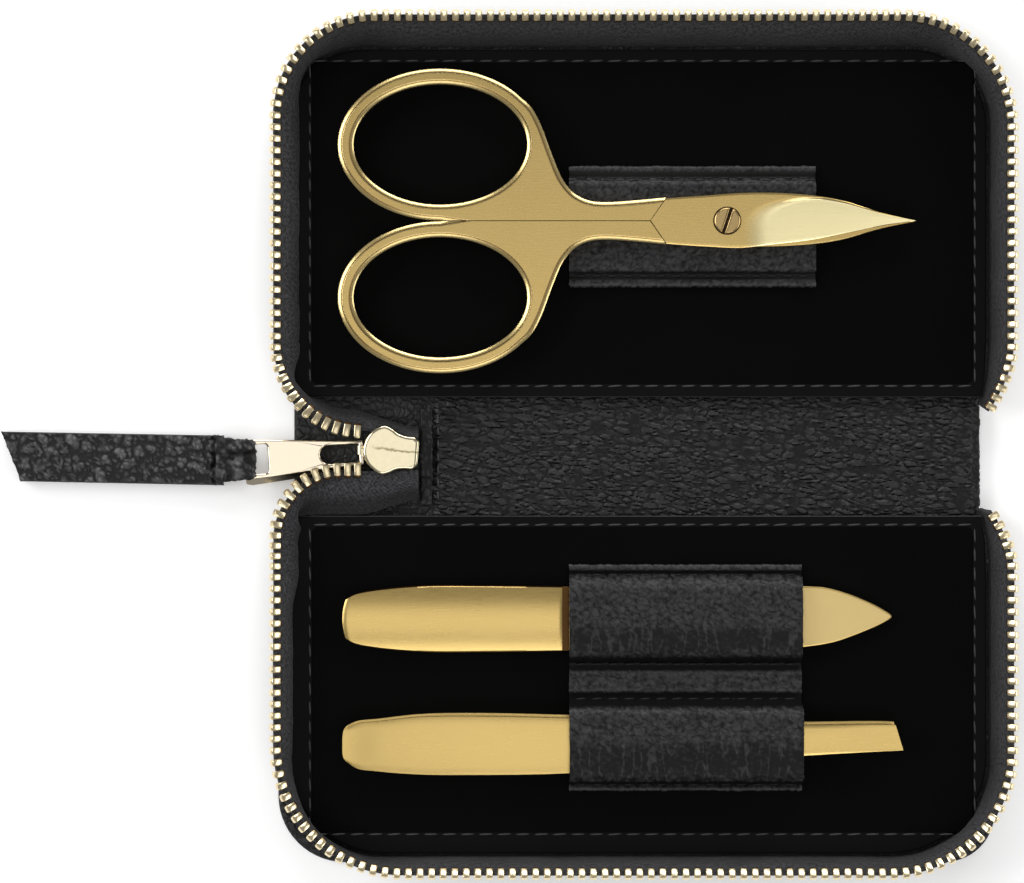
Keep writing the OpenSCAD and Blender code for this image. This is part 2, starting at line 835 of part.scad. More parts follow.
module tweezers_plan()
    polygon([
        [tools_x, 2.6],
        [tools_x + 1, 3],
        [tools_x + 5.5, 3.5],
        [tools_x + 12, 4.2],
        [tools_x + 20, 4.35],
        [tools_x + 35, 4.05],
        [tools_x + 55, 3.4],
        [tools_x + 70, 3],
        [tools_x + tweezers_l - 1.2, 3.05],
        [tools_x + tweezers_l, -0.95],
        [tools_x + 80, -1.3],
        [tools_x + 70, -1.9],
        [tools_x + 55, -3.1],
        [tools_x + 35, -4.5],
        [tools_x + 20, -4.75],
        [tools_x + 12, -4.7],
        [tools_x + 5.5, -4.25],
        [tools_x + 1, -3.6],
        [tools_x, -3]
    ]);

// The upper arm from the side: flat at the butt, out to its belly, then in to the tip.
module arm_side()
    polygon([
        [tools_x - 1, 0.02],
        [hinge_x, 0.02],
        [hinge_x + 20, arm_gap / 2],
        [tools_x + 70, arm_gap / 2],
        [tools_x + tweezers_l + 1, tip_gap / 2],
        [tools_x + tweezers_l + 1, tip_gap / 2 + arm_t * 0.7],
        [tools_x + 70, arm_gap / 2 + arm_t],
        [hinge_x + 20, arm_gap / 2 + arm_t],
        [hinge_x, arm_t],
        [tools_x - 1, arm_t]
    ]);

module tweezers_arm()
    color([0.82, 0.68, 0.4])
        translate([0, tweezers_y, tweezers_z])
            intersection() {
                translate([0, 0, -10]) linear_extrude(20) tweezers_plan();
                translate([0, 10, 0]) rotate([90, 0, 0]) linear_extrude(20) arm_side();
            }

module tweezers_upper_arm() tweezers_arm();

module tweezers_lower_arm()
    translate([0, arm_shift, 2 * tweezers_z])
        mirror([0, 0, 1])
            tweezers_arm();

cover_lower();
board_lower();
lining_lower();
zip_tape_lower();
zip_teeth_lower();
tool_loops();
cover_spine();
board_spine();
lining_spine();
zip_end_tab();
zip_bottom_stop();
zip_top_stops();
cover_upper();
board_upper();
lining_upper();
zip_tape_upper();
zip_teeth_upper();
scissors_strap();
tape_tail_lower();
teeth_tail_lower();
tape_tail_upper();
teeth_tail_upper();
slider_body();
slider_pull();
pull_tag();
scissors_half_upper();
scissors_half_lower();
scissors_screw();
file_handle();
file_blade();
tweezers_lower_arm();
tweezers_upper_arm();
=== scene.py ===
# %% [markdown]
# # A manicure set case, dressed for its picture
# The CAD model already holds every part at its real size. This script loads it as a fixed
# frame and gives each part the surface that the real thing has: pebbled leather, smooth
# lining, woven zip tape, metal teeth, and brushed or polished gold tools. It is a lesson in
# cells: each step is explained first, then made, and then it prints what it made.

# %% Load the frame
import math
import bmesh
import bpy
from mathutils import Matrix, Vector, noise


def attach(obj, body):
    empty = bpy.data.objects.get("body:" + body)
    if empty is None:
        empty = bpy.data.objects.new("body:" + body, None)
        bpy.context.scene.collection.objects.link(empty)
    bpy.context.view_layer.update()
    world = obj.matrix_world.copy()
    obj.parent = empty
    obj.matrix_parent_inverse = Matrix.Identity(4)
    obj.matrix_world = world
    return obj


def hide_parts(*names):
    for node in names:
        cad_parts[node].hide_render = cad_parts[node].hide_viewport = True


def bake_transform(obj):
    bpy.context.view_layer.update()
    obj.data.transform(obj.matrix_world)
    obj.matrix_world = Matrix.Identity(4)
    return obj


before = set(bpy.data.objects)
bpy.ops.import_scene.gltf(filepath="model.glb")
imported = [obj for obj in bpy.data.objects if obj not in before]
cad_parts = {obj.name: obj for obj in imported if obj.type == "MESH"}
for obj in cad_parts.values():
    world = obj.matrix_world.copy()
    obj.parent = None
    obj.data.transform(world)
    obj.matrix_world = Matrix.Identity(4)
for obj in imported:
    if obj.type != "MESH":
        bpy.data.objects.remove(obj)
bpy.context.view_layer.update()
MM = 0.001

# %% [markdown]
# ## Shader maths as plain Python
# A material is a tree of nodes. Building it node by node hides the idea, so one small class
# wraps a socket and overloads the operators: `1 - mask * 0.3` adds the Math nodes itself.
# Any other node comes from one method, which takes its type, its settings and its inputs.

# %% A socket that can be added and multiplied
class Signal:
    """The output of a node, which Python's operators can work on."""

    def __init__(self, finish, socket):
        self.finish = finish
        self.socket = socket

    def maths(self, operation, *values):
        return self.finish.node("ShaderNodeMath", {"operation": operation}, values)

    def __add__(self, other):
        return self.maths("ADD", self, other)

    def __sub__(self, other):
        return self.maths("SUBTRACT", self, other)

    def __rsub__(self, other):
        return self.maths("SUBTRACT", other, self)

    def __mul__(self, other):
        return self.maths("MULTIPLY", self, other)

    def magnitude(self):
        return self.maths("ABSOLUTE", self)

    __radd__ = __add__
    __rmul__ = __mul__

    def step(self, low, high):
        """0 below low, 1 above high and smooth between them."""
        settings = {"interpolation_type": "SMOOTHSTEP"}
        return self.finish.node("ShaderNodeMapRange", settings, (self, low, high, 0, 1))


class Finish:
    """A material whose nodes are written as Python expressions."""

    def __init__(self, name, **constants):
        self.material = bpy.data.materials.new(name)
        self.material.use_nodes = True
        self.tree = self.material.node_tree
        self.shader = self.tree.nodes["Principled BSDF"]
        for socket, value in constants.items():
            self.set(socket.replace("_", " "), value)

    def feed(self, socket, value):
        if isinstance(value, Signal):
            self.tree.links.new(value.socket, socket)
        else:
            socket.default_value = value

    def node(self, kind, settings=None, inputs=(), output=0):
        made = self.tree.nodes.new(kind)
        for key, value in (settings or {}).items():
            setattr(made, key, value)
        pairs = inputs.items() if isinstance(inputs, dict) else enumerate(inputs)
        for key, value in pairs:
            self.feed(made.inputs[key], value)
        return Signal(self, made.outputs[output])

    def set(self, socket, value):
        self.feed(self.shader.inputs[socket], value)

    def place(self, stretch=(1, 1, 1)):
        """The place on the piece in millimetres, stretched."""
        where = self.node("ShaderNodeTexCoord", output="Object")
        inputs = {"Vector": where, "Scale": [s / MM for s in stretch]}
        return self.node("ShaderNodeMapping", inputs=inputs)

    def along(self):
        """The piece's own UV map, which is laid out in millimetres."""
        return self.node("ShaderNodeTexCoord", output="UV")

    def axis(self, where, index):
        """One coordinate of a place: 0 is X and 1 is Y."""
        return self.node("ShaderNodeSeparateXYZ", None, (where,), index)

    def clouds(self, where, scale, detail=2, rough=0.5, output=0):
        inputs = {"Vector": where, "Scale": scale, "Detail": detail, "Roughness": rough}
        return self.node("ShaderNodeTexNoise", None, inputs, output)

    def cells(self, where, scale):
        """The distance to the edge of the nearest of many irregular cells."""
        inputs = {"Vector": where, "Scale": scale}
        return self.node("ShaderNodeTexVoronoi", {"feature": "DISTANCE_TO_EDGE"}, inputs)

    def stored(self, attribute):
        """A number that the mesh itself carries, vertex by vertex."""
        return self.node("ShaderNodeAttribute", {"attribute_name": attribute}, (), 2)

    def shift(self, where, by, amount):
        """The place moved about by a colour, so that a pattern on it looks less regular."""
        moved = self.node("ShaderNodeVectorMath", {"operation": "SCALE"}, {0: by, 3: amount})
        return self.node("ShaderNodeVectorMath", {"operation": "ADD"}, (where, moved))

    def colours(self, mask, low, high):
        return self.blend(mask, (*low, 1), (*high, 1))

    def blend(self, mask, low, high):
        made = self.tree.nodes.new("ShaderNodeMix")
        made.data_type = "RGBA"
        for index, value in ((0, mask), (6, low), (7, high)):
            self.feed(made.inputs[index], value)
        return Signal(self, made.outputs[2])

    def relief(self, height, depth, normal=None):
        """Bumps of a height from 0 to 1, with their real depth in millimetres."""
        inputs = {"Height": height, "Distance": depth * MM, "Strength": 1.0}
        if normal:
            inputs["Normal"] = normal
        return self.node("ShaderNodeBump", inputs=inputs)


print("Shader helpers are ready")

# %% [markdown]
# ## Leather, pebbled and plain
# Pebbled leather is a skin with small raised cells and creases between them. On the cover a
# Voronoi pattern's distance to the edge of its cells gives the creases, and noise that moves
# the pattern about takes away its regular look. The spine, the tag and the straps are seen
# closer, so their grain is carved into the mesh, which hands it to the material as a number
# at each vertex. In all of them the colour is darker in the creases and paler on the tops:
# painted shade and painted highlight over the real relief. The lining is smooth, so its
# recipe is only faint clouds.

# %% Leather finishes
# The crease colour is painted shade; the other is the leather's own charcoal.
CREASE_SHADE = (0.0018, 0.0018, 0.0018)
CHARCOAL = (0.026, 0.026, 0.027)


def leather(name, low, high, pebble, depth, rough, shine, carved=False):
    """Pebbled leather; a carved piece brings its own grain as an attribute of its mesh."""
    skin = Finish(name, Specular_IOR_Level=shine)
    where = skin.place()
    pores = skin.clouds(where, 3.2, 4, 0.65)
    if carved:
        grain = skin.stored("grain")
        raised = pores * 0.6
        tone = grain * (0.6 + 1.1 * pores) - 0.22
    else:
        where = skin.shift(where, skin.clouds(where, 0.6 / pebble, 2, 0.5, 1), pebble * 0.8)
        edge = skin.cells(where, 1 / pebble).step(0.0, 0.24)
        small = skin.cells(where, 2.4 / pebble).step(0.0, 0.3)
        tall = skin.clouds(where, 0.9 / pebble, 1).step(0.3, 0.7)
        raised = edge * (0.55 + 0.2 * tall) + small * 0.15 + pores * 0.15
        tone = edge * (0.35 + 0.45 * tall) + 0.3 * pores
    # The tone is painted shade in the creases and a painted highlight on the tops.
    skin.set("Base Color", skin.colours(tone, low, high))
    skin.set("Roughness", rough + 0.3 * pores - 0.14 * tone)
    skin.set("Normal", skin.relief(raised, depth))
    return skin.material


cover_leather = leather("cover_leather", CREASE_SHADE, CHARCOAL, 1.3, 0.2, 0.42, 0.3)
spine_leather = leather("spine_leather", CREASE_SHADE, (0.027, 0.027, 0.028), 1, 0.05, 0.34, 0.26, True)
tag_finish = leather("tag_leather", CREASE_SHADE, (0.17, 0.17, 0.175), 1, 0.06, 0.4, 0.35, True)
strap_leather = leather("strap_leather", CREASE_SHADE, (0.042, 0.042, 0.044), 1, 0.05, 0.38, 0.21, True)


def plain_hide(name, low, high, rough, shine):
    hide = Finish(name, Specular_IOR_Level=shine)
    where = hide.place()
    pores = hide.clouds(where, 3.5, 3, 0.6)
    hide.set("Base Color", hide.colours(hide.clouds(where, 0.05, 3), low, high))
    hide.set("Roughness", rough + 0.1 * pores)
    hide.set("Normal", hide.relief(pores, 0.012))
    return hide.material


lining_leather = plain_hide("lining_leather", (0.0012,) * 3, (0.0022,) * 3, 0.46, 0.025)
border_leather = plain_hide("border_leather", (0.0025,) * 3, (0.0045,) * 3, 0.44, 0.05)
# A paler, shinier hide for the border's eased top edge: a painted highlight.
edge_highlight_hide = plain_hide("edge_highlight_leather", (0.006,) * 3, (0.018,) * 3, 0.4, 0.3)
print("Leathers:", [m.name for m in (cover_leather, spine_leather, tag_finish, strap_leather)])

# %% [markdown]
# ## Woven tape, thread and board
# Zip tape is a close herringbone of fine yarns. It bends round the corners of the case, so
# its pattern reads the piece's own UV map, laid out in millimetres, and not the place in
# space. The map is TAPE_V high, up the outer side and down the inner one, which also tells
# the material how near the rim it is: towards the foot the tape is painted darker, as
# painted shade. The thread has the same waves as a twist across it.

# %% Cloth and paper finishes
TAPE_V = 14
DIAGONAL_WAVES = {"wave_type": "BANDS", "bands_direction": "DIAGONAL", "wave_profile": "SIN"}


def woven_tape():
    cloth = Finish("woven_tape", Specular_IOR_Level=0.2, Sheen_Weight=0.1)
    where = cloth.along()
    up = 1 - (cloth.axis(where, 1) * (2 / TAPE_V) - 1).magnitude()
    fuzz = cloth.clouds(where, 2.0, 4, 0.75).step(0.34, 0.68)
    bent = {"Vector": where, "Scale": 1.1, "Distortion": 1.2, "Detail Scale": 2.0}
    yarns = cloth.node("ShaderNodeTexWave", DIAGONAL_WAVES, bent, 1)
    # Darker towards the foot, where the tape meets the cover: painted shade.
    light = (yarns * 0.2 + fuzz * 0.8) * (0.25 + 0.75 * up.step(0.2, 0.7))
    cloth.set("Base Color", cloth.colours(light, (0.003, 0.003, 0.0034), (0.074, 0.074, 0.08)))
    cloth.set("Roughness", 0.78 + 0.15 * fuzz)
    cloth.set("Normal", cloth.relief(yarns * 0.3 + fuzz * 0.7, 0.09))
    return cloth.material


def spun_thread(name, low, high):
    yarn = Finish(name, Specular_IOR_Level=0.3)
    turns = {"Vector": yarn.place(), "Scale": 2.0, "Distortion": 0.4}
    twist = yarn.node("ShaderNodeTexWave", DIAGONAL_WAVES, turns, 1)
    yarn.set("Base Color", yarn.colours(twist, low, high))
    yarn.set("Roughness", 0.5 + 0.2 * twist)
    yarn.set("Normal", yarn.relief(twist, 0.04))
    return yarn.material


def dark_board():
    paper = Finish("dark_board", Specular_IOR_Level=0.2)
    pulp = paper.clouds(paper.place(), 1.6, 5, 0.7)
    paper.set("Base Color", paper.colours(pulp, (0.012, 0.011, 0.01), (0.035, 0.033, 0.03)))
    paper.set("Roughness", 0.8 + 0.15 * pulp)
    paper.set("Normal", paper.relief(pulp, 0.05))
    return paper.material


tape_cloth = woven_tape()
thread = spun_thread("stitch_thread", (0.02, 0.02, 0.021), (0.062, 0.062, 0.066))
dark_thread = spun_thread("dark_thread", (0.004, 0.004, 0.004), (0.02, 0.02, 0.021))
board_paper = dark_board()
print("Cloth and paper:", tape_cloth.name, thread.name, board_paper.name)

# %% [markdown]
# ## Gold, from brushed to mirror
# All the metal is steel or brass with a thin pale gold coat, and only the last working step
# differs. Brushing leaves fine lines along the tool, so that finish is noise stretched along
# X. The file is etched to a fine even grain. The zip and slider are tumbled to a polish,
# which leaves a mirror with a few faint marks; the slider also gets a painted reflection, a
# dark brown line. Where the mesh stores polish, the gold is smoother and also paler, the
# paler tone being a painted highlight. Steep faces that see little light, such as the roots
# of the teeth, get a brown gold, which is painted shade.

# %% Gold finishes
TOOL_GOLD = ((0.63, 0.44, 0.15), (0.71, 0.52, 0.2))
SCISSORS_GOLD = ((0.52, 0.36, 0.125), (0.63, 0.465, 0.185))
FACET_HIGHLIGHT_GOLD = ((0.78, 0.68, 0.37), (0.87, 0.77, 0.45))
FILE_GOLD = ((0.7, 0.53, 0.22), (0.83, 0.64, 0.3))
ZIP_GOLD = ((0.8, 0.66, 0.4), (0.9, 0.78, 0.53))
PULL_GOLD = ((0.8, 0.7, 0.53), (0.87, 0.77, 0.61))
SCREW_GOLD = ((0.3, 0.19, 0.08), (0.62, 0.46, 0.21))
PAINTED_SHADE_TONES = ((0.06, 0.026, 0.009), (0.12, 0.062, 0.022))
RECESS_SHADE_TONES = ((0.02, 0.012, 0.006), (0.05, 0.03, 0.015))
BRUSH = (0.06, 1, 1)
SATIN_BRUSH = (0.1, 1, 1)


def gold(name, tones, rough, spread, lines, depth, stretch=(1, 1, 1), polished=None):
    """Gold with a grain; where the mesh stores polish, it turns smoother and into the paler polished tones,
    which are a painted highlight.
    """
    coat = Finish(name, Metallic=1.0)
    where = coat.place(stretch)
    grain = coat.clouds(where, lines, 3, 0.6)
    stain = coat.clouds(coat.place(), 0.12, 3)
    tint = coat.colours(grain * 0.5 + stain * 0.5, *tones)
    if polished:
        # The paler polished tones are a painted highlight; the lower roughness is the real polish.
        polish = coat.stored("polish")
        bright = coat.colours(stain, *polished)
        tint = coat.blend(polish, tint, bright)
        spread = spread * (1 - 0.6 * polish)
    coat.set("Base Color", tint)
    coat.set("Roughness", rough + spread * grain + 0.05 * stain)
    coat.set("Normal", coat.relief(grain, depth))
    return coat.material


brushed_gold = gold("brushed_gold", TOOL_GOLD, 0.2, 0.14, 7.0, 0.006, BRUSH)
scissors_gold = gold("scissors_gold", SCISSORS_GOLD, 0.18, 0.14, 7.0, 0.004, BRUSH, FACET_HIGHLIGHT_GOLD)
satin_gold = gold("satin_gold", TOOL_GOLD, 0.22, 0.1, 9.0, 0.003, SATIN_BRUSH)
etched_gold = gold("etched_gold", FILE_GOLD, 0.38, 0.2, 9.0, 0.02)
zip_gold = gold("zip_gold", ZIP_GOLD, 0.16, 0.12, 2.5, 0.01)
pull_gold = gold("pull_gold", PULL_GOLD, 0.1, 0.06, 1.2, 0.004)
screw_gold = gold("screw_gold", SCREW_GOLD, 0.2, 0.1, 5.0, 0.004)
# The brown gold is painted shade for faces that see little light, not a second metal.
painted_shade_gold = gold("bronze_shadow", PAINTED_SHADE_TONES, 0.3, 0.1, 5.0, 0.004)
# A near black brown gold for the screw's recess and slot: painted shade.
recess_shade_gold = gold("recess_shade_gold", RECESS_SHADE_TONES, 0.4, 0.1, 5.0, 0.004)


MIRROR_GOLD = ((0.68, 0.6, 0.4), (0.78, 0.7, 0.5))
REFLECTION_BROWN = (0.16, 0.12, 0.04, 1)
REFLECTION_SLOPE = 0.12
REFLECTION_OFF = 3.1
REFLECTION_X = (-42.0, -40.0)


def mirror_gold():
    """Tumbled gold with a painted reflection: a dark brown line where its low dome would mirror a dark part
    of the room.
    """
    coat = Finish("slider_gold", Metallic=1.0)
    where = coat.place()
    marks = coat.clouds(where, 1.2, 3, 0.6)
    ahead = coat.axis(where, 0)
    aside = coat.axis(where, 1)
    off_line = (aside + REFLECTION_SLOPE * ahead + REFLECTION_OFF + 0.9 * marks).magnitude()
    # A painted reflection: a brown line across the dome, broken up by the marks.
    painted_reflection = (1 - off_line.step(0.03, 0.3)) * (0.4 + 1.2 * marks) * ahead.step(*REFLECTION_X)
    pale = coat.colours(marks, *MIRROR_GOLD)
    coat.set("Base Color", coat.blend(0.7 * painted_reflection, pale, REFLECTION_BROWN))
    coat.set("Roughness", 0.1 + 0.08 * marks)
    coat.set("Normal", coat.relief(marks, 0.004))
    return coat.material


slider_gold = mirror_gold()
print("Golds:", [m.name for m in (brushed_gold, scissors_gold, etched_gold, zip_gold, slider_gold)])

# %% [markdown]
# ## Three ways to make a form
# Nearly every piece here is one of three things. A *loft* is a grid of faces that a function
# of two shares, u along and w across, puts in place. A *plate* is an outline with holes,
# filled, made thick and eased at its edges by small insets. A *row* is one small form copied
# along a path. Sizes are millimetres until the piece is finished.

# %% Modelling helpers
QUARTER = math.pi / 2


def loft(rows, columns, place, ring=False, size=(1, 1)):
    """A grid that place(u, w) lays out; ring joins its long sides, size scales its UV map."""
    bm = bmesh.new()
    uv = bm.loops.layers.uv.new("UVMap")
    bmesh.ops.create_grid(bm, x_segments=rows, y_segments=columns, size=0.5, calc_uvs=True)
    for face in bm.faces:
        for loop in face.loops:
            loop[uv].uv = (loop[uv].uv[0] * size[0], loop[uv].uv[1] * size[1])
    for v in bm.verts:
        v.co = place(v.co.x + 0.5, v.co.y + 0.5)
    if ring:
        bmesh.ops.remove_doubles(bm, verts=bm.verts, dist=1e-4)
    return bm


def close_ends(bm):
    """Fills what is open with flat faces and turns all faces outwards."""
    bmesh.ops.holes_fill(bm, edges=[e for e in bm.edges if e.is_boundary], sides=0)
    bmesh.ops.recalc_face_normals(bm, faces=bm.faces)
    return bm


def close_down(bm, z, ease=0.0):
    """Takes the rim of an open sheet straight down to height z and closes it there."""
    for drop_to, draw_in in ((z + ease, 0.0), (z, ease)):
        rim = [e for e in bm.edges if e.is_boundary]
        made = bmesh.ops.extrude_edge_only(bm, edges=rim)["geom"]
        low = [g for g in made if isinstance(g, bmesh.types.BMVert)]
        middle = sum((v.co for v in low), Vector()) / len(low)
        for v in low:
            inward = (middle - v.co).normalized() * draw_in
            v.co = (v.co.x + inward.x, v.co.y + inward.y, drop_to)
    return close_ends(bm)


def cut_plate(outline, holes=(), bottom=0.0, top=1.0, shoulder=((0.1, 0.1),), foot=()):
    """A flat part: an outline with holes, its upper and lower edges eased by (inset, rise)."""
    bm = bmesh.new()
    for loop in (outline, *holes):
        ring = [bm.verts.new((x, y, 0)) for x, y in loop]
        for a, b in zip(ring, ring[1:] + ring[:1]):
            bm.edges.new((a, b))
    bmesh.ops.triangle_fill(bm, use_beauty=True, edges=bm.edges[:], normal=(0, 0, 1))
    under = bm.faces[:]
    risen = bmesh.ops.extrude_face_region(bm, geom=under)["geom"]
    upper = [g for g in risen if isinstance(g, bmesh.types.BMFace)]
    for faces, steps, end, way in ((upper, shoulder, top, 1), (under, foot, bottom, -1)):
        height = end - way * sum(rise for _, rise in steps)
        for v in {v for f in faces for v in f.verts}:
            v.co.z = height
        for inset, rise in steps:
            bmesh.ops.inset_region(
                bm, faces=faces, thickness=inset, use_even_offset=True, use_boundary=True
            )
            height += way * rise
            for v in {v for f in faces for v in f.verts}:
                v.co.z = height
    bmesh.ops.recalc_face_normals(bm, faces=bm.faces)
    return bm


def merge(parts):
    """Several bmeshes as one, in the order given."""
    whole = bmesh.new()
    whole.loops.layers.uv.new("UVMap")
    for part in parts:
        carrier = bpy.data.meshes.new("carrier")
        part.to_mesh(carrier)
        part.free()
        whole.from_mesh(carrier)
        bpy.data.meshes.remove(carrier)
    return whole


def moved(bm, *steps):
    """The same bmesh after each of the matrices in turn."""
    for matrix in steps:
        bmesh.ops.transform(bm, matrix=matrix, verts=bm.verts)
    return bm


def piece(name, bm, body, finishes, replaces=(), crease=35):
    """Links a bmesh in millimetres as a finished piece that rides on a body; given anything else, it is
    left where it is made.
    """
    bmesh.ops.scale(bm, vec=(MM, MM, MM), verts=bm.verts)
    mesh = bpy.data.meshes.new(name)
    bm.to_mesh(mesh)
    bm.free()
    mesh.shade_smooth()
    mesh.set_sharp_from_angle(angle=math.radians(crease))
    made = bpy.data.objects.new(name, mesh)
    bpy.context.scene.collection.objects.link(made)
    for finish in finishes if isinstance(finishes, list) else [finishes]:
        mesh.materials.append(finish)
    if isinstance(body, str):
        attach(made, body)
    else:
        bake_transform(made)
    if replaces:
        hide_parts(*replaces)
    low = [round(min(v.co[k] for v in mesh.vertices) / MM, 1) for k in range(3)]
    high = [round(max(v.co[k] for v in mesh.vertices) / MM, 1) for k in range(3)]
    print(f"{name}: {len(mesh.polygons)} faces, from {low} to {high} mm")
    return made


def soft(x):
    """0 to 1 with no corner at either end."""
    x = min(max(x, 0.0), 1.0)
    return x * x * (3 - 2 * x)


def mix(a, b, share):
    return a + (b - a) * share


def emboss(bm, grain, depth):
    """Moves vertices along their normals by a grain from 0 to 1, and stores it for the finish."""
    layer = bm.verts.layers.float.new("grain")
    bm.normal_update()
    for v in bm.verts:
        v[layer] = grain(v.co)
    for v in bm.verts:
        v.co += v.normal * (depth * (v[layer] - 0.6))
    return bm


def ripple(x, y, z=0.0):
    """Smooth noise from -1 to 1."""
    return noise.noise(Vector((x, y, z)))


def pebbles(x, y, size, seed=0.0, crack=0.45):
    """Height from 0 in the creases to 1 on top of leather pebbles of about this size."""
    sway = 0.35 * size * ripple(x / size * 0.7, y / size * 0.7, seed + 5)
    near, _ = noise.voronoi(Vector(((x + sway) / size, (y - sway) / size, seed)))
    return soft((near[1] - near[0]) / crack)


def hide_grain(x, y, size, seed, crack=0.45):
    """Pebbles of one size with smaller ones on them, some of them taller than others."""
    tall = 0.5 + 0.8 * ripple(x / size * 0.8, y / size * 0.8, seed + 1)
    small = pebbles(x, y, size * 0.45, seed + 3, crack)
    return pebbles(x, y, size, seed, crack) * (0.5 + 0.3 * min(max(tall, 0.0), 1.0)) + 0.2 * small


def rounded_section(w, half_wide, half_high, r=None):
    """A point of a rectangle with round corners; w 0 to 1 goes evenly once round it."""
    r = min(half_wide, half_high) if r is None else r
    arc = QUARTER * r
    flats = (2 * (half_high - r), 2 * (half_wide - r)) * 2
    s = w % 1.0 * (sum(flats) + 4 * arc)
    corners = ((1, 1), (-1, 1), (-1, -1), (1, -1))
    for quarter, (flat, (cx, cy)) in enumerate(zip(flats, corners)):
        turned = quarter * QUARTER
        if s <= flat:
            x, y, back = r, 0.0, flat - s
            break
        s -= flat
        if s <= arc:
            x, y, back = r * math.cos(s / r), r * math.sin(s / r), 0.0
            break
        s -= arc
    else:
        cx, cy, turned, x, y, back = 1, -1, 0.0, r, 0.0, 0.0
    y -= back
    c, d = math.cos(turned), math.sin(turned)
    return cx * (half_wide - r) + x * c - y * d, cy * (half_high - r) + x * d + y * c


def disc(radius, n=40, centre=(0.0, 0.0)):
    """The corners of a round outline, anticlockwise."""
    turns = [math.tau * i / n for i in range(n)]
    return [(centre[0] + radius * math.cos(a), centre[1] + radius * math.sin(a)) for a in turns]


def evenly(points, gap):
    """The same line of straight legs with points at about this distance."""
    line = [points[0]]
    for a, b in zip(points, points[1:]):
        n = max(1, round(math.dist(a, b) / gap))
        line += [(mix(a[0], b[0], k / n), mix(a[1], b[1], k / n)) for k in range(1, n + 1)]
    return line


def curve_through(points):
    """A smooth function of x through (x, y) points."""
    xs = [p[0] for p in points]
    ys = [p[1] for p in points]
    steps = [(b - a) / (d - c) for a, b, c, d in zip(ys, ys[1:], xs, xs[1:])]
    slopes = [steps[0], *[(a + b) / 2 for a, b in zip(steps, steps[1:])], steps[-1]]

    def value(x):
        i = max(k for k in range(len(xs) - 1) if k == 0 or xs[k] <= x)
        span = xs[i + 1] - xs[i]
        t = min(max((x - xs[i]) / span, 0.0), 1.0)
        rise = slopes[i] * t * (1 - t) ** 2 - slopes[i + 1] * t * t * (1 - t)
        return mix(ys[i], ys[i + 1], soft(t)) + rise * span

    return value


def flowing(points, between=6):
    """A smooth line through a list of points in the plane."""
    line = []
    padded = [points[0], *points, points[-1]]
    for a, b, c, d in zip(padded, padded[1:], padded[2:], padded[3:]):
        for k in range(between):
            t = k / between
            line.append(tuple(
                0.5 * (2 * b[i] + (c[i] - a[i]) * t + (2 * a[i] - 5 * b[i] + 4 * c[i] - d[i]) * t * t
                       + (3 * b[i] - a[i] - 3 * c[i] + d[i]) * t**3)
                for i in (0, 1)
            ))
    return [*line, points[-1]]


print("Modelling helpers are ready")

# %% [markdown]
# ## Sizes and paths
# The script can't open the CAD source, so the sizes that a skin or a row must meet are
# repeated here in millimetres. The zip follows paths of straight and bent legs. A small
# class walks along such a path and gives the place, the way ahead and the way out. The lower
# half has paths of the same kind with its own radii, mirrored across the spine.

# %% Sizes of the case
FOLD = 8.1
PANEL_HALF = 54.85
COVER_HALF = 56.45
WAIST_HALF = 53.95
BASE_HALF = 55.35
RIM_LEFT = 55.9
RIM_RIGHT = 57.6
WALL_START = 17.8
COVER_T = 1.2
LINING_Z = 2.3
FLOOR_Z = 3.1
TAPE_TOP = 7.9
FOOT_Z = 1.25
SLIDER_X = -42.9
SLIDER_Y = 0.6
BAR_X = -43.35
TAB_X = -34.1
BAR_Z = 2.0
STRAP_X = -10.7
TOOLS_X = -46.1
FILE_Y = -25.35
TWEEZERS_Y = -44.8
FLAP = 2.4
HALVES = {
    "lower": {"side": -1, "far": 62.35, "lean": 1.9, "left_r": 19.4, "right_r": 18.4,
              "lining_r": 15.2, "tail_y": 2.9, "tail_r": 9.6, "hook_r": 15.7, "turn": 34.1,
              "flap_from": 15, "wall_flap": 1.4, "cover_r": (10.5, 8)},
    "upper": {"side": 1, "far": 63.9, "lean": 4.1, "left_r": 15.0, "right_r": 16.8,
              "lining_r": 12.0, "tail_y": 4.8, "tail_r": 12.8, "hook_r": 19, "turn": 33.2,
              "flap_from": 8, "wall_flap": FLAP, "cover_r": (12, 12)},
}


class Walk:
    """A path of [length, radius] legs that bend right; side -1 mirrors it across the spine."""

    def __init__(self, start, heading, legs, side):
        self.start = start
        self.heading = math.radians(heading)
        self.legs = legs
        self.side = side
        self.length = sum(leg[0] for leg in legs)

    def at(self, s):
        x, y = self.start
        h = self.heading
        for index, (length, radius) in enumerate(self.legs):
            last = index == len(self.legs) - 1
            run = s if last or s < length else length
            if radius:
                turned = h - run / radius
                x += radius * (math.sin(h) - math.sin(turned))
                y += radius * (math.cos(turned) - math.cos(h))
                h = turned
            else:
                x += run * math.cos(h)
                y += run * math.sin(h)
            s -= run
            if s <= 0:
                break
        place = Vector((x, self.side * y, 0))
        ahead = Vector((math.cos(h), self.side * math.sin(h), 0))
        out = Vector((-math.sin(h), self.side * math.cos(h), 0))
        return place, ahead, out

    def pair(self, other, s):
        """The length along a path of like legs that goes with s along this one."""
        done = 0.0
        for (length, _), (like, _) in zip(self.legs, other.legs):
            if s <= length:
                return done + like * s / length
            s -= length
            done += like
        return done


def wall_path(left, right, far, left_r, right_r, side):
    legs = [
        [far - left_r - WALL_START, 0],
        [QUARTER * left_r, left_r],
        [left + right - left_r - right_r, 0],
        [QUARTER * right_r, right_r],
        [far - right_r - WALL_START, 0],
    ]
    return Walk((-left, WALL_START), 90, legs, side)


def tail_path(left, y, r, side, start=SLIDER_X - 0.1):
    legs = [[start + left - r, 0], [QUARTER * r, r], [WALL_START - y - r, 0]]
    return Walk((start, y), 180, legs, side)


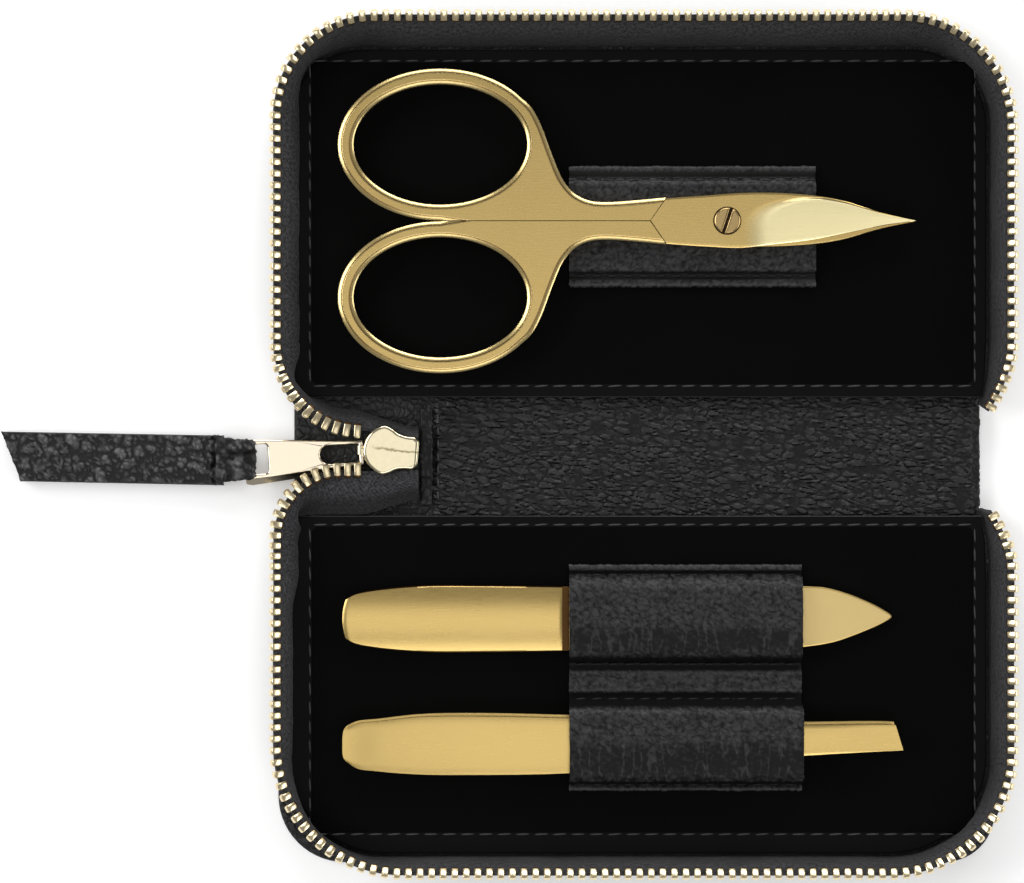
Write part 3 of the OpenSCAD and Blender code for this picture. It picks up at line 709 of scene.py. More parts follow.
def hook_path(right, r, turn, side):
    return Walk((right, WALL_START), -90, [[math.radians(turn) * r, r]], side)


paths = {}
for half, size in HALVES.items():
    side = size["side"]
    far = size["far"]
    base = far + 0.5
    r = size["lining_r"]
    paths[half] = {
        "wall": wall_path(
            RIM_LEFT, RIM_RIGHT, far + size["lean"], size["left_r"], size["right_r"], side
        ),
        "wall_foot": wall_path(BASE_HALF, BASE_HALF, base, r, r, side),
        "tail": tail_path(RIM_LEFT, size["tail_y"], size["tail_r"], side),
        "hook": hook_path(RIM_RIGHT, size["hook_r"], size["turn"], side),
        "hook_foot": hook_path(BASE_HALF, 29.6, 18.9, side),
        "tape_tail": tail_path(RIM_LEFT, size["tail_y"], size["tail_r"], side, TAB_X - 0.2),
    }
paths["lower"]["tail_foot"] = tail_path(BASE_HALF, 9.1, 4.0, -1, TAB_X - 0.2)
paths["upper"]["tail_foot"] = tail_path(BASE_HALF, 7.4, 10.2, 1, TAB_X - 0.2)
for half in paths:
    print(half, {name: round(path.length, 1) for name, path in paths[half].items()})

# %% [markdown]
# ## The outer leather
# One skin covers both halves and the spine, and on the real case it bends along two fold
# lines. It is cut from an outline, gets its thickness and eased edges as any plate, and is
# then sliced in rows near the fold line with `bisect_plane`, because a fold needs vertices
# to bend; nothing here bends it. Each skin is cut off square at the middle of the spine,
# where the two of them meet unseen.

# %% Cover skins
def panel_outline(half, waist, y0, y1, r, reach, side, steps=14):
    """A panel with round far corners, drawn in at its near end."""
    right = [(waist, y0), (waist + (half - waist) * 0.7, y0 + reach * 0.4), (half, y0 + reach)]
    for i in range(steps + 1):
        a = QUARTER * i / steps
        right.append((half - r + r * math.cos(a), y1 - r + r * math.sin(a)))
    left = [(-x, y) for x, y in reversed(right)]
    return [(x, side * y) for x, y in right + left]


def cut_through(bm, place, normal, **cleared):
    """Cuts a bmesh along a plane; clear_inner or clear_outer takes one side away."""
    everything = bm.verts[:] + bm.edges[:] + bm.faces[:]
    bmesh.ops.bisect_plane(bm, geom=everything, plane_co=place, plane_no=normal, **cleared)
    return bm


def across_fold(half, near_y, far_y):
    """The bodies and places on either side of a fold, near_y on the spine and far_y on the half; piece()
    does not blend with them and leaves the piece where it is made.
    """
    side = HALVES[half]["side"]
    on_spine, on_half = (0, side * near_y * MM, 0), (0, side * far_y * MM, 0)
    if half == "lower":
        return "lower_half", "spine", on_half, on_spine
    return "spine", "upper_half", on_spine, on_half


SKIN_EDGE = ((0.1, 0.3), (0.2, 0.2), (0.35, 0.1), (0.05, 0.0))
COVER_PAST = 1.6
COVER_REACH = 6
SLICES = 27
SLICE_FROM = 2.6
SLICE = 0.2
BEND_HALF = 2.2
for half, size in HALVES.items():
    side = size["side"]
    left, right = (
        panel_outline(COVER_HALF, WAIST_HALF, FOLD, size["far"] + COVER_PAST, r, COVER_REACH, side)
        for r in size["cover_r"]
    )
    outline = [p for p in right if p[0] > 0] + [p for p in left if p[0] < 0]
    outline = [(WAIST_HALF, -6 * side), *outline, (-WAIST_HALF, -6 * side)]
    skin = cut_plate(outline, bottom=0.0, top=COVER_T, shoulder=SKIN_EDGE, foot=SKIN_EDGE)
    close_ends(cut_through(skin, (0, 0, 0), (0, side, 0), clear_inner=True))
    for k in range(SLICES):
        cut_through(skin, (0, side * (FOLD - SLICE_FROM + SLICE * k), 0), (0, 1, 0))
    bend = across_fold(half, FOLD - BEND_HALF, FOLD + BEND_HALF)
    covered = (f"cover_{half}", "cover_spine")
    piece(f"cover_skin_{half}", skin, bend, cover_leather, covered)

# %% [markdown]
# ## Boards, linings and their stitches
# A dark board stiffens each half. It is flat and nearly hidden, so the CAD part stays and
# only gets its paper. The lining over it is a thin hide in two parts, a border strip and a
# field, and a line of stitches holds them down where they meet. Each stitch is a small ball
# drawn out lengthwise, which dives into the hide at both ends as real thread does.

# %% Board material and lining panels
for name in ("board_lower", "board_upper", "board_spine"):
    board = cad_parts[name]
    board.data.materials.clear()
    board.data.materials.append(board_paper)


def rounded_box(x0, x1, y0, y1, r, steps=8):
    """The corners of a rectangle with round corners, anticlockwise."""
    points = []
    centres = ((x1 - r, y1 - r), (x0 + r, y1 - r), (x0 + r, y0 + r), (x1 - r, y0 + r))
    for start, (cx, cy) in enumerate(centres):
        for i in range(steps + 1):
            a = QUARTER * (start + i / steps)
            points.append((cx + r * math.cos(a), cy + r * math.sin(a)))
    return points


def row_of(form, places):
    """Copies of one small form, one at each of the given matrices."""
    carrier = bpy.data.meshes.new("carrier")
    form.to_mesh(carrier)
    form.free()
    whole = bmesh.new()
    whole.loops.layers.uv.new("UVMap")
    for matrix in places:
        first = len(whole.verts)
        whole.from_mesh(carrier)
        whole.verts.ensure_lookup_table()
        bmesh.ops.transform(whole, matrix=matrix, verts=whole.verts[first:])
    bpy.data.meshes.remove(carrier)
    return whole


def stitches(lines, z, pitch=2.85, length=2.35, width=0.32):
    """Thread along straight lines ((x, y), (x, y)) at the height z."""
    form = bmesh.new()
    bmesh.ops.create_uvsphere(form, u_segments=8, v_segments=6, radius=0.5)
    places = []
    for (x0, y0), (x1, y1) in lines:
        run = math.hypot(x1 - x0, y1 - y0)
        turn = Matrix.Rotation(math.atan2(y1 - y0, x1 - x0), 4, "Z")
        count = int(run / pitch)
        for i in range(count):
            share = (i + 0.5) / count
            askew = Matrix.Rotation(0.05 + 0.07 * ripple(i * 1.7, x0 + y1), 4, "Z")
            middle = Matrix.Translation((mix(x0, x1, share), mix(y0, y1, share), z))
            places.append(middle @ turn @ askew @ Matrix.Diagonal((length, width, width, 1)))
    return row_of(form, places)


FIELDS = {
    "lower": (-51.35, 52.95, -59.25, -10.7),
    "upper": (-51.35, 52.95, 11.05, 62.05),
}
HIDE_EDGE = ((0.12, 0.12), (0.2, 0.06), (0.05, 0.0))
THREAD_Z = FLOOR_Z - 0.06
for half, size in HALVES.items():
    side = size["side"]
    body = f"{half}_half"
    x0, x1, y0, y1 = FIELDS[half]
    edge = panel_outline(PANEL_HALF, 54.1, FOLD + 1.2, size["far"], size["lining_r"], 10, side)
    base = cut_plate(edge, (), LINING_Z, FLOOR_Z - 0.04, HIDE_EDGE)
    # The eased top edge gets the paler hide, a painted highlight along the border.
    for face in base.faces:
        sloped = abs(face.normal.z) < 0.95 and face.calc_center_median().z > FLOOR_Z - 0.3
        face.material_index = 2 if sloped else 1
    centre = rounded_box(x0 + 0.1, x1 - 0.1, y0 + 0.1, y1 - 0.1, 1.4)
    field = cut_plate(centre, (), FLOOR_Z - 0.5, FLOOR_Z, HIDE_EDGE)
    hides = [lining_leather, border_leather, edge_highlight_hide]
    piece(f"lining_panel_{half}", merge([base, field]), body, hides, (f"lining_{half}",))
    lines = [
        ((x0 + 0.2, y0), (x1 - 0.2, y0)),
        ((x0 + 0.2, y1), (x1 - 0.2, y1)),
        ((x0, y0 + 0.2), (x0, y1 - 0.2)),
        ((x1, y0 + 0.2), (x1, y1 - 0.2)),
    ]
    piece(f"lining_thread_{half}", stitches(lines, THREAD_Z), body, thread, ())

# %% [markdown]
# ## The spine
# Inside the spine lies a softer, coarser leather. Its grain is deep enough to change the
# outline of a highlight, so here the pebbles are real displacement of a fine grid, and the
# material adds only the pores. The grid's rim is then taken straight down and closed. Two
# narrow strips of the same hide go on over the fold lines, and a folded strip with a line of
# stitches covers the end of the zip.

# %% Spine leather, folded strip and stops
SPINE_X0 = TAB_X + 2.1
SPINE_X1 = WAIST_HALF - 1.0
SPINE_EDGE = FOLD - 0.5
FOLD_EDGE = FOLD + 1.25
SPINE_TOP = 1.98
SPINE_DEPTH = 0.38
SPINE_ROWS = 420
HALF_TAB = FOLD - 0.6
BINDING_X = 53.1


def spine_height(x, y):
    """The spine's soft inside, which falls away towards the folded strip."""
    crown = 0.12 * (1 - (y / SPINE_EDGE) ** 2)
    swell = 0.1 * ripple(x * 0.12, y * 0.25, 8.0) + 0.05 * ripple(x * 0.4, y * 0.7, 3.0)
    return SPINE_TOP + crown + swell - 0.45 * (1 - soft((x - SPINE_X0) / 0.9))


def spine_grain(place):
    wrinkle = soft(abs(ripple(place.x * 0.2, place.y * 0.85, 4.0)) / 0.16)
    fold = soft(abs(ripple(place.x * 0.3 + 5, place.y * 0.6, 11.0)) / 0.12)
    cells = hide_grain(place.x * 0.4 + 0.3 * place.y, place.y, 0.85, 2.0, 0.3)
    return cells * (0.5 + 0.3 * wrinkle + 0.3 * fold)


def spine_sheet(y0, y1, columns):
    def place(u, w):
        x, y = mix(SPINE_X0, SPINE_X1, u), mix(y0, y1, w)
        return Vector((x, y, spine_height(x, y)))

    return close_down(emboss(loft(SPINE_ROWS, columns, place), spine_grain, SPINE_DEPTH), COVER_T)


spine_hide = spine_sheet(-SPINE_EDGE, SPINE_EDGE, 84)
piece("spine_hide", spine_hide, "spine", spine_leather, ("lining_spine",))
for half, size in HALVES.items():
    side = size["side"]
    edges = sorted((side * (SPINE_EDGE - 0.02), side * FOLD_EDGE))
    bend = across_fold(half, SPINE_EDGE, FOLD_EDGE)
    piece(f"spine_fold_{half}", spine_sheet(*edges, 10), bend, spine_leather, ())


def tab_place(u, w):
    """The folded strip over the zip's end, which rises over the slider's line."""
    y = mix(-HALF_TAB, HALF_TAB, u)
    hump = soft((4.6 - abs(y - SLIDER_Y)) / 1.2)
    height = 1.0 + 0.6 * hump + 0.08 * ripple(y * 0.9, 3.0)
    x, z = rounded_section(w, 1.02 + 0.05 * ripple(y * 0.7, 9.0), height / 2, 0.4)
    return Vector((TAB_X + 1.03 + x, y, COVER_T + height / 2 + z))


def end_binding(u, w):
    """The folded strip that finishes the spine's right end over the zip's top stops."""
    y = mix(-FOLD + 0.25, FOLD - 0.25, u)
    x, z = rounded_section(w, 0.85, 0.5)
    x += BINDING_X + 0.08 * ripple(y * 0.5, 4.0)
    return Vector((x, y, COVER_T + 0.5 + z + 0.05 * ripple(y, 7.0)))


def strip_grain(place):
    return hide_grain(place.x, place.y * 0.8, 0.8, 5.0)


folded_strip = emboss(close_ends(loft(120, 40, tab_place, ring=True)), strip_grain, 0.14)
piece("end_strip", folded_strip, "spine", spine_leather, ("zip_end_tab",))
binding = emboss(close_ends(loft(120, 44, end_binding, ring=True)), strip_grain, 0.18)
piece("end_binding", binding, "spine", spine_leather, ())
strip_line = [((SPINE_X0 + 0.75, -HALF_TAB + 0.4), (SPINE_X0 + 0.75, HALF_TAB - 0.4))]
strip_thread = stitches(strip_line, z=2.1, pitch=1.9, length=1.3, width=0.34)
piece("end_strip_thread", strip_thread, "spine", thread, ())

STOP_EDGE = ((0.1, 0.1),)
stop_box = rounded_box(TAB_X + 0.4, TAB_X + 1.6, SLIDER_Y - 2, SLIDER_Y + 2, 0.3)
bottom_stop = cut_plate(stop_box, (), FOOT_Z, 2.25, STOP_EDGE, STOP_EDGE)
piece("bottom_stop", bottom_stop, "spine", zip_gold, ("zip_bottom_stop",))
top_stops = []
for way in (-1, 1):
    y = way * (FOLD - 1.6)
    box = rounded_box(WAIST_HALF - 1.3, WAIST_HALF - 0.4, y - 1, y + 1, 0.3, 5)
    top_stops.append(cut_plate(box, (), COVER_T, 1.65, ((0.08, 0.12), (0.12, 0.08))))
piece("top_stops", merge(top_stops), "spine", zip_gold, ("zip_top_stops",))

# %% [markdown]
# ## The zip tape
# The tape is a woven band that stands on the cover's edge and leans outwards. Its foot and
# its rim follow two paths of like legs, so a loft can pair them leg by leg. Round the
# section, w goes up the outer side and down the inner one, and the rim is a little thicker
# where the cord for the teeth is woven in. On the inner side the tape's sewn flap stands out
# near the spine and ends round the corner. The free ends at the spine turn with one half
# only in part; here those pieces stay where they are made, on neither body.

# %% Tapes on the halves and their free ends
TAIL_Z = 3.75
TAIL_FOOT_Z = 3.0
TAIL_RUN = 20
HOOK_Z = 3.4
HOOK_FOOT_Z = 2.1
FLAP_SOFT = 6
FREE_FROM = 4.5
RIM_OUT = 0.6
RIM_UP = 0.45
TAPE_HALF_T = 0.27
CORD = 0.06
TAPE_ROW = 0.6


def zero(s):
    return 0.0


def tape_band(rim, foot, left, low, foot_low, run, limp, flap=zero, draw=None):
    """A band from foot to rim; left(s) tells how far it is to the wall, where it is highest."""
    def place(u, w):
        s = u * rim.length
        top, _, out_top = rim.at(s)
        low_place, _, out_low = foot.at(rim.pair(foot, s))
        fallen = soft(left(s) / run)
        top.z = mix(TAPE_TOP, low, fallen)
        low_place.z = mix(FOOT_Z, foot_low, fallen)
        up = 1 - abs(2 * w - 1)
        top += out_top * RIM_OUT
        top.z += RIM_UP * (1 - fallen)
        if draw:
            x_from, x_to, rim_in, foot_in = draw
            drawn = soft((top.x - x_from) / (x_to - x_from)) * rim.side
            top.y -= rim_in * drawn
            low_place.y -= foot_in * drawn
        face = 1 if w < 0.5 else -1
        out = out_low.lerp(out_top, up).normalized()
        rise = (top - low_place).normalized()
        normal = (out - rise * out.dot(rise)).normalized()
        round_end = math.sqrt(1 - max(0.0, (up - 0.93) / 0.07) ** 2)
        round_foot = min(1.0, up / 0.04)
        cord = CORD * soft((up - 0.8) / 0.08)
        half_thick = (TAPE_HALF_T + cord) * round_end * round_foot
        crease = -0.35 * limp * math.exp(-((up - 0.45) / 0.16) ** 2)
        wave = limp * ripple(s * 0.16, up * 1.5, rim.side * 7.0) * soft(up / 0.4)
        fine = 0.25 * limp * ripple(s * 0.7, up * 3.0, rim.side * 3.0) * soft(up / 0.3)
        held = 1 - soft((up - 0.7) / 0.3) * 0.8
        point = low_place.lerp(top, up) + normal * (face * half_thick + (crease + wave + fine) * held)
        if face < 0 and 0.28 < up < 0.9:
            point -= out_low * flap(s) * ((0.9 - up) / 0.6) ** 1.2
        return point

    rows = max(8, int(rim.length / TAPE_ROW))
    return close_ends(loft(rows, 60, place, True, (rim.length, TAPE_V)))


def from_start(s):
    return s


def from_wall_end(road):
    """How far the wall still is along a tail that ends at it."""
    def left(s):
        return road.length - s

    return left


def wall_flap(road, kept):
    """The flap on a wall: full at its start, then as much as is kept, and none past the bend."""
    straight, corner = road.legs[0][0], road.legs[1][0]

    def flap(s):
        return mix(FLAP, kept, soft(s / FLAP_SOFT)) * (1 - soft((s - straight) / (0.6 * corner)))

    return flap


def tail_flap(left, start):
    """The flap on a tail, which grows once the wall is nearer than start."""
    def flap(s):
        return FLAP * soft((start - left(s)) / FLAP_SOFT)

    return flap


def free_end(half):
    """The bodies and places of a free end of the zip, from the spine to where the wall starts; piece() does
    not blend with them and leaves the piece where it is made.
    """
    side = HALVES[half]["side"]
    return "spine", f"{half}_half", (0, side * FREE_FROM * MM, 0), (0, side * WALL_START * MM, 0)


DRAWN_IN = {"lower": (-41, -34.3, 0.2, 2.3), "upper": (-44, -34.3, 1.5, 2.8)}
for half, size in HALVES.items():
    road = paths[half]
    flap = wall_flap(road["wall"], size["wall_flap"])
    wall = tape_band(road["wall"], road["wall_foot"], zero, TAPE_TOP, FOOT_Z, 1, 0.3, flap)
    piece(f"tape_wall_{half}", wall, f"{half}_half", tape_cloth, (f"zip_tape_{half}",))
    left = from_wall_end(road["tape_tail"])
    tail = tape_band(
        road["tape_tail"], road["tail_foot"], left, TAIL_Z, TAIL_FOOT_Z, TAIL_RUN, 0.4,
        tail_flap(left, size["flap_from"]), DRAWN_IN[half],
    )
    hook = tape_band(
        road["hook"], road["hook_foot"], from_start, HOOK_Z, HOOK_FOOT_Z, road["hook"].length, 0.3
    )
    ends = merge([tail, hook])
    piece(f"tape_ends_{half}", ends, free_end(half), tape_cloth, (f"tape_tail_{half}",))

# %% [markdown]
# ## The teeth
# A moulded tooth is a small rounded bar that clamps the cord. There are more than two
# hundred of them, so one of a few dozen faces is made and copied along the paths. Each copy
# is tilted up with the wall and turned by a hair, as no real row is perfectly even. The
# faces at each tooth's root get the brown gold as painted shade.

# %% Rows of teeth
TOOTH_PITCH = 1.8
TAIL_PITCH = 1.62
HOOK_PITCH = 1.5
TOOTH_SIZE = (1.16, 1.85, 1.1)
TOOTH_OUT = 0.6
TOOTH_RISE = 38
TAIL_RISE = 4
HOOK_RISE = 10


def tooth_form():
    bar = bmesh.new()
    bmesh.ops.create_cube(bar, size=1)
    bmesh.ops.scale(bar, vec=TOOTH_SIZE, verts=bar.verts)
    bmesh.ops.translate(bar, vec=(0, TOOTH_OUT, 0), verts=bar.verts)
    bmesh.ops.bevel(
        bar, geom=bar.edges[:], offset=0.3, segments=2, profile=0.5, affect="EDGES", material=-1
    )
    # Faces at the root, towards the tape, get the brown gold: painted shade.
    for face in bar.faces:
        face.material_index = int(face.calc_center_median().y < 0.25)
    return bar


def tooth_row(road, left, low, run, flat, pitch):
    """Teeth along a path, which lie lower, flatter and longer the further the wall is away."""
    count = round(road.length / pitch)
    places = []
    for i in range(count):
        s = (i + 0.5) / count * road.length
        place, _, out = road.at(s)
        fallen = soft(left(s) / run)
        place.z = mix(TAPE_TOP, low, fallen)
        tilt = math.radians(mix(TOOTH_RISE, flat, fallen) + 3.0 * ripple(i * 0.9, 4.4))
        along = out * math.cos(tilt) + Vector((0, 0, math.sin(tilt)))
        above = Vector((0, 0, math.cos(tilt))) - out * math.sin(tilt)
        across = along.cross(above)
        frame_here = Matrix((across, along, above)).transposed().to_4x4()
        longer = 1 + 0.3 * fallen * (low == TAIL_Z)
        places.append(Matrix.Translation(place) @ frame_here @ Matrix.Diagonal((1, longer, 1, 1)))
    return row_of(tooth_form(), places)


TOOTH_GOLD_AND_SHADE = [zip_gold, painted_shade_gold]
for half in HALVES:
    road = paths[half]
    wall = tooth_row(road["wall"], zero, TAPE_TOP, 1, TOOTH_RISE, TOOTH_PITCH)
    covered = (f"zip_teeth_{half}",)
    piece(f"teeth_wall_{half}", wall, f"{half}_half", TOOTH_GOLD_AND_SHADE, covered)
    left = from_wall_end(road["tail"])
    tail = tooth_row(road["tail"], left, TAIL_Z, TAIL_RUN, TAIL_RISE, TAIL_PITCH)
    run = road["hook"].length
    hook = tooth_row(road["hook"], from_start, HOOK_Z, run, HOOK_RISE, HOOK_PITCH)
    ends = merge([tail, hook])
    covered = (f"teeth_tail_{half}",)
    piece(f"teeth_ends_{half}", ends, free_end(half), TOOTH_GOLD_AND_SHADE, covered)

# %% [markdown]
# ## Slider, pull and tag
# The slider is two cast plates on a neck, and its edges are soft from tumbling, so its
# plates get several small insets that add up to a low dome. The pull is a stamped plate
# with a slot and a window. The tag is a doubled leather strip whose narrow end goes through
# the window and back, and both the strip and that loop are lofts of a rounded section.

# %% Slider
SLIDER_RIM = [
    (0.0, -0.6), (0.45, -1.75), (1.3, -2.75), (2.9, -3.7), (4.2, -3.45), (5.3, -2.85), (6.6, -2.6),
    (7.85, -2.6), (8.55, -1.9), (8.55, 1.9), (7.85, 2.6), (6.6, 2.6), (5.3, 2.95), (4.2, 3.65), (2.9, 4.0),
    (1.3, 3.15), (0.4, 1.9), (0.0, 0.6),
]
SLIDER_TURN = -4.5
LUG_R = 0.75
LUG_HOLE_R = 0.45
slider_turn = Matrix.Rotation(math.radians(SLIDER_TURN), 4, "Z")
slider_place = Matrix.Translation((SLIDER_X, SLIDER_Y + 0.53, 0)) @ slider_turn
lobe = flowing([*SLIDER_RIM[10:], *SLIDER_RIM[:8]], 4)
slider_outline = [*lobe, *SLIDER_RIM[8:10]]
DOME = ((0.08, 0.16), (0.12, 0.1), (0.15, 0.06), (0.15, 0.03), (0.05, 0.0))
FEW = ((0.08, 0.08),)
slider_parts = [
    cut_plate(slider_outline, (), 4.1, 4.75, DOME, FEW),
    cut_plate(slider_outline, (), 2.5, 3.0, FEW, ((0.1, 0.12), (0.15, 0.06))),
    cut_plate(rounded_box(0.3, 2.7, -0.8, 0.8, 0.4, 4), (), 2.9, 4.2, ((0.02, 0.02),)),
]
for way in (-1, 1):
    rail = rounded_box(5, 8.0, way * 2.3 - 0.3, way * 2.3 + 0.3, 0.2, 3)
    slider_parts.append(cut_plate(rail, (), 2.6, 3.35, FEW))
    slider_parts.append(cut_plate(rail, (), 3.75, 4.3, ((0.02, 0.02),), FEW))
slider_mesh = moved(merge(slider_parts), slider_place)
lug_wall, lug_hole = (disc(r, 24, (BAR_X, BAR_Z)) for r in (LUG_R, LUG_HOLE_R))
lug = cut_plate(lug_wall, [lug_hole], -0.7, 0.7, ((0.06, 0.06),), ((0.06, 0.06),))
stand_up = Matrix.Translation((0, SLIDER_Y + 0.4, 0)) @ Matrix.Rotation(QUARTER, 4, "X")
bridge_box = rounded_box(BAR_X, BAR_X + 1.6, SLIDER_Y - 0.7, SLIDER_Y + 0.7, 0.1, 2)
bridge = cut_plate(bridge_box, (), 2.55, 2.95, FEW)
slider_mesh = merge([slider_mesh, moved(lug, stand_up), bridge])
piece("slider_casting", slider_mesh, "slider", slider_gold, ("slider_body",))

# %% Pull
PULL_RIM = [
    (0.4, -1.95), (0.4, 1.95), (-4, 2.2), (-10, 2.65), (-15, 3.0), (-17.4, 3.15), (-18.3, 2.9),
    (-18.6, 2.3), (-18.6, -2.3), (-18.3, -2.9), (-17.4, -3.15), (-15, -3.0), (-10, -2.65), (-4, -2.2),
]
slot = [(0.0, -1.45), (0.0, 1.45)]
for k in range(17):
    a = QUARTER + math.pi * k / 16
    slot.append((-5.0 + 1.45 * math.cos(a), 1.45 * math.sin(a)))
window = rounded_box(-17.6, -14.6, -2.3, 2.3, 0.6, 5)
PULL_EDGE = ((0.1, 0.14), (0.15, 0.06), (0.05, 0.0))
PULL_TURN = 3.6
pull_plate = cut_plate(PULL_RIM, [slot, window], -0.4, 0.42, PULL_EDGE, ((0.12, 0.12),))
for v in pull_plate.verts:
    if v.co.z < 0.1 and v.co.y < -1.75 + 0.055 * v.co.x:
        v.co.y -= 0.55 - 0.02 * v.co.x
pull_bar = bmesh.new()
bmesh.ops.create_cone(pull_bar, cap_ends=True, segments=24, radius1=0.4, radius2=0.4, depth=3.2)
bmesh.ops.rotate(pull_bar, matrix=Matrix.Rotation(QUARTER, 3, "X"), verts=pull_bar.verts)
pull_turn = Matrix.Rotation(math.radians(PULL_TURN), 4, "Z")
pull_place = Matrix.Translation((BAR_X, SLIDER_Y, BAR_Z)) @ pull_turn
pull_mesh = moved(merge([pull_plate, pull_bar]), pull_place)
piece("pull_plate", pull_mesh, "pull", pull_gold, ("slider_pull",))

# %% Tag
EYE_X = BAR_X - 18
NECK_L = 4.2
TAG_L = 34.5
TAG_JOIN = EYE_X - NECK_L
TAG_END = TAG_JOIN - TAG_L
TAG_HALF = 4.0
TAG_LEAN = 0.62
TAG_DEPTH = 0.5
LOOP_R = 1.3


def tag_place(u, w):
    """The broad part of the strip, cut aslant at its end and grooved at its seam."""
    y, z = rounded_section(w, TAG_HALF, 1.1, 0.3)
    x = mix(TAG_END + (TAG_HALF - y) * 0.4, TAG_JOIN + 0.6, u)
    groove = math.exp(-((u - 0.962) / 0.014) ** 2)
    z -= 0.55 * groove * (1 if z > 0 else 0)
    return Vector((x, y - TAG_LEAN * u, 1.32 + z))


tag_body = close_ends(loft(230, 120, tag_place, ring=True))


def loop_place(u, w):
    """A strip that goes from the tag over the pull's bar and back."""
    reach = EYE_X - TAG_JOIN + 0.6
    total = 2 * reach + math.pi * LOOP_R
    s = u * total
    if s < reach:
        x, z, nx, nz = TAG_JOIN - 0.6 + s, LOOP_R, 0.0, 1.0
    elif s < total - reach:
        a = (s - reach) / LOOP_R
        nx, nz = math.sin(a), math.cos(a)
        x, z = EYE_X + LOOP_R * nx, LOOP_R * nz
    else:
        x, z, nx, nz = EYE_X - (s - total + reach), -LOOP_R, 0.0, -1.0
    share = min(max((x - TAG_JOIN) / NECK_L, 0.0), 1.0)
    pinch = 0.42 * math.exp(-((share - 0.42) / 0.22) ** 2)
    z = z * (1 - pinch) if abs(z) > 0.4 else z
    half_wide = mix(3.7, 3.4, soft(share)) if nz > 0.97 else mix(1.95, 3.4, soft((nz - 0.2) / 0.6))
    y, t = rounded_section(w, half_wide, 0.42)
    notch = math.exp(-((y - 0.4) / 0.7) ** 2) * soft(nz) * soft(share * 2)
    bulge = 0.3 * math.sin(math.pi * min(abs(y - 0.4) / 3.2, 1.0)) * soft(nz)
    t += 0.1 * ripple(x * 1.3, y * 0.9, 6.0 + (5 if z < 0 else 0)) + (bulge - 0.5 * notch) * (t > 0)
    back = 1.1 * notch * soft((share - 0.5) / 0.5)
    return Vector((x + nx * t - back, y - 0.53, BAR_Z + z + nz * t))


def tag_grain(place):
    """Crumpled suede-like pebbles that fade out at the strip's edges and inside the loop."""
    across = abs(place.y + TAG_LEAN * (place.x - TAG_END) / TAG_L)
    coarse = pebbles(place.x, place.y, 2.0, 3.0) * (0.6 + 0.4 * ripple(place.x * 0.6, place.y * 0.6, 3.0))
    fine = hide_grain(place.x, place.y, 0.9, 7.0)
    held = soft((4.05 - across) / 0.5)
    return 0.45 + (0.6 * coarse + 0.5 * fine - 0.5) * held


tag_loop = close_ends(loft(90, 48, loop_place, ring=True))
tag_mesh = emboss(merge([tag_body, tag_loop]), tag_grain, TAG_DEPTH)
piece("tag_strip", tag_mesh, "tag", tag_finish, ("pull_tag",), 60)

# %% [markdown]
# ## The straps
# The lower strap is one piece of leather, sewn down along four lines, so it makes two tubes
# for the file and the tweezers. The upper strap lies flat under the scissors. Each is a
# section drawn once, as (y, height over the lining), and carried along X. The tubes' outer
# slopes get small upright wrinkles, because there the leather is gathered into the seam.

# %% Lower strap with its two loops
STRAP_L = 36.4
STRAP_ROWS = 190
STRAP_T = 0.85
STRAP_DEPTH = 0.16
SECTION_GAP = 0.24
FILE_TUBE = {"middle": FILE_Y, "p": 3, "q": 2}
TWEEZERS_TUBE = {"middle": TWEEZERS_Y, "p": 6, "q": 2.5}
FILE_TUBE_HALF = 6.05
TWEEZERS_TUBE_HALF = 5.6


def hump(u, p, q):
    """The height of a tube's section from 0 at its sides, u -1 and 1, to 1 in the middle."""
    return 0.0 if abs(u) >= 1 else (1 - abs(u) ** p) ** (1 / q)


def hump_line(half, base, height, middle, p, q, steps=30):
    """A tube's line over the table, from the side by the spine to the outer side."""
    line = []
    for i in range(steps + 1):
        u = -math.cos(math.pi * i / steps)
        line.append((middle - u * half, base + height * hump(u, p, q)))
    return line


outer_line = [
    (-16.9, 0.05), (-16.9, 0.5), (-17.0, 0.78), (-17.25, 0.9), (-17.9, 0.9), (-18.3, 0.62), (-18.55, 0.55),
    *hump_line(FILE_TUBE_HALF + STRAP_T, 0.75, 3.05, **FILE_TUBE)[1:-1],
    (-32.35, 0.55), (-32.6, 0.52), (-32.9, 0.68), (-33.5, 0.95), (-35.2, 1.02), (-36.8, 0.95), (-37.5, 0.7),
    (-37.9, 0.55),
    *hump_line(TWEEZERS_TUBE_HALF + STRAP_T, 0.75, 4.75, **TWEEZERS_TUBE)[1:-1],
    (-51.3, 0.55), (-51.5, 0.6), (-51.75, 0.85), (-52.1, 0.9), (-52.35, 0.75), (-52.4, 0.4), (-52.4, 0.05),
]
inner_line = [
    (-52.3, 0.02), (-51.4, 0.02),
    *reversed(hump_line(TWEEZERS_TUBE_HALF, 0.02, 4.6, **TWEEZERS_TUBE)),
    (-37.5, 0.02), (-34.5, 0.02), (-33.0, 0.02),
    *reversed(hump_line(FILE_TUBE_HALF, 0.02, 2.92, **FILE_TUBE)),
    (-18.0, 0.02), (-17.1, 0.02),
]
outer_line = evenly(outer_line, SECTION_GAP)
section = outer_line + inner_line + outer_line[:1]


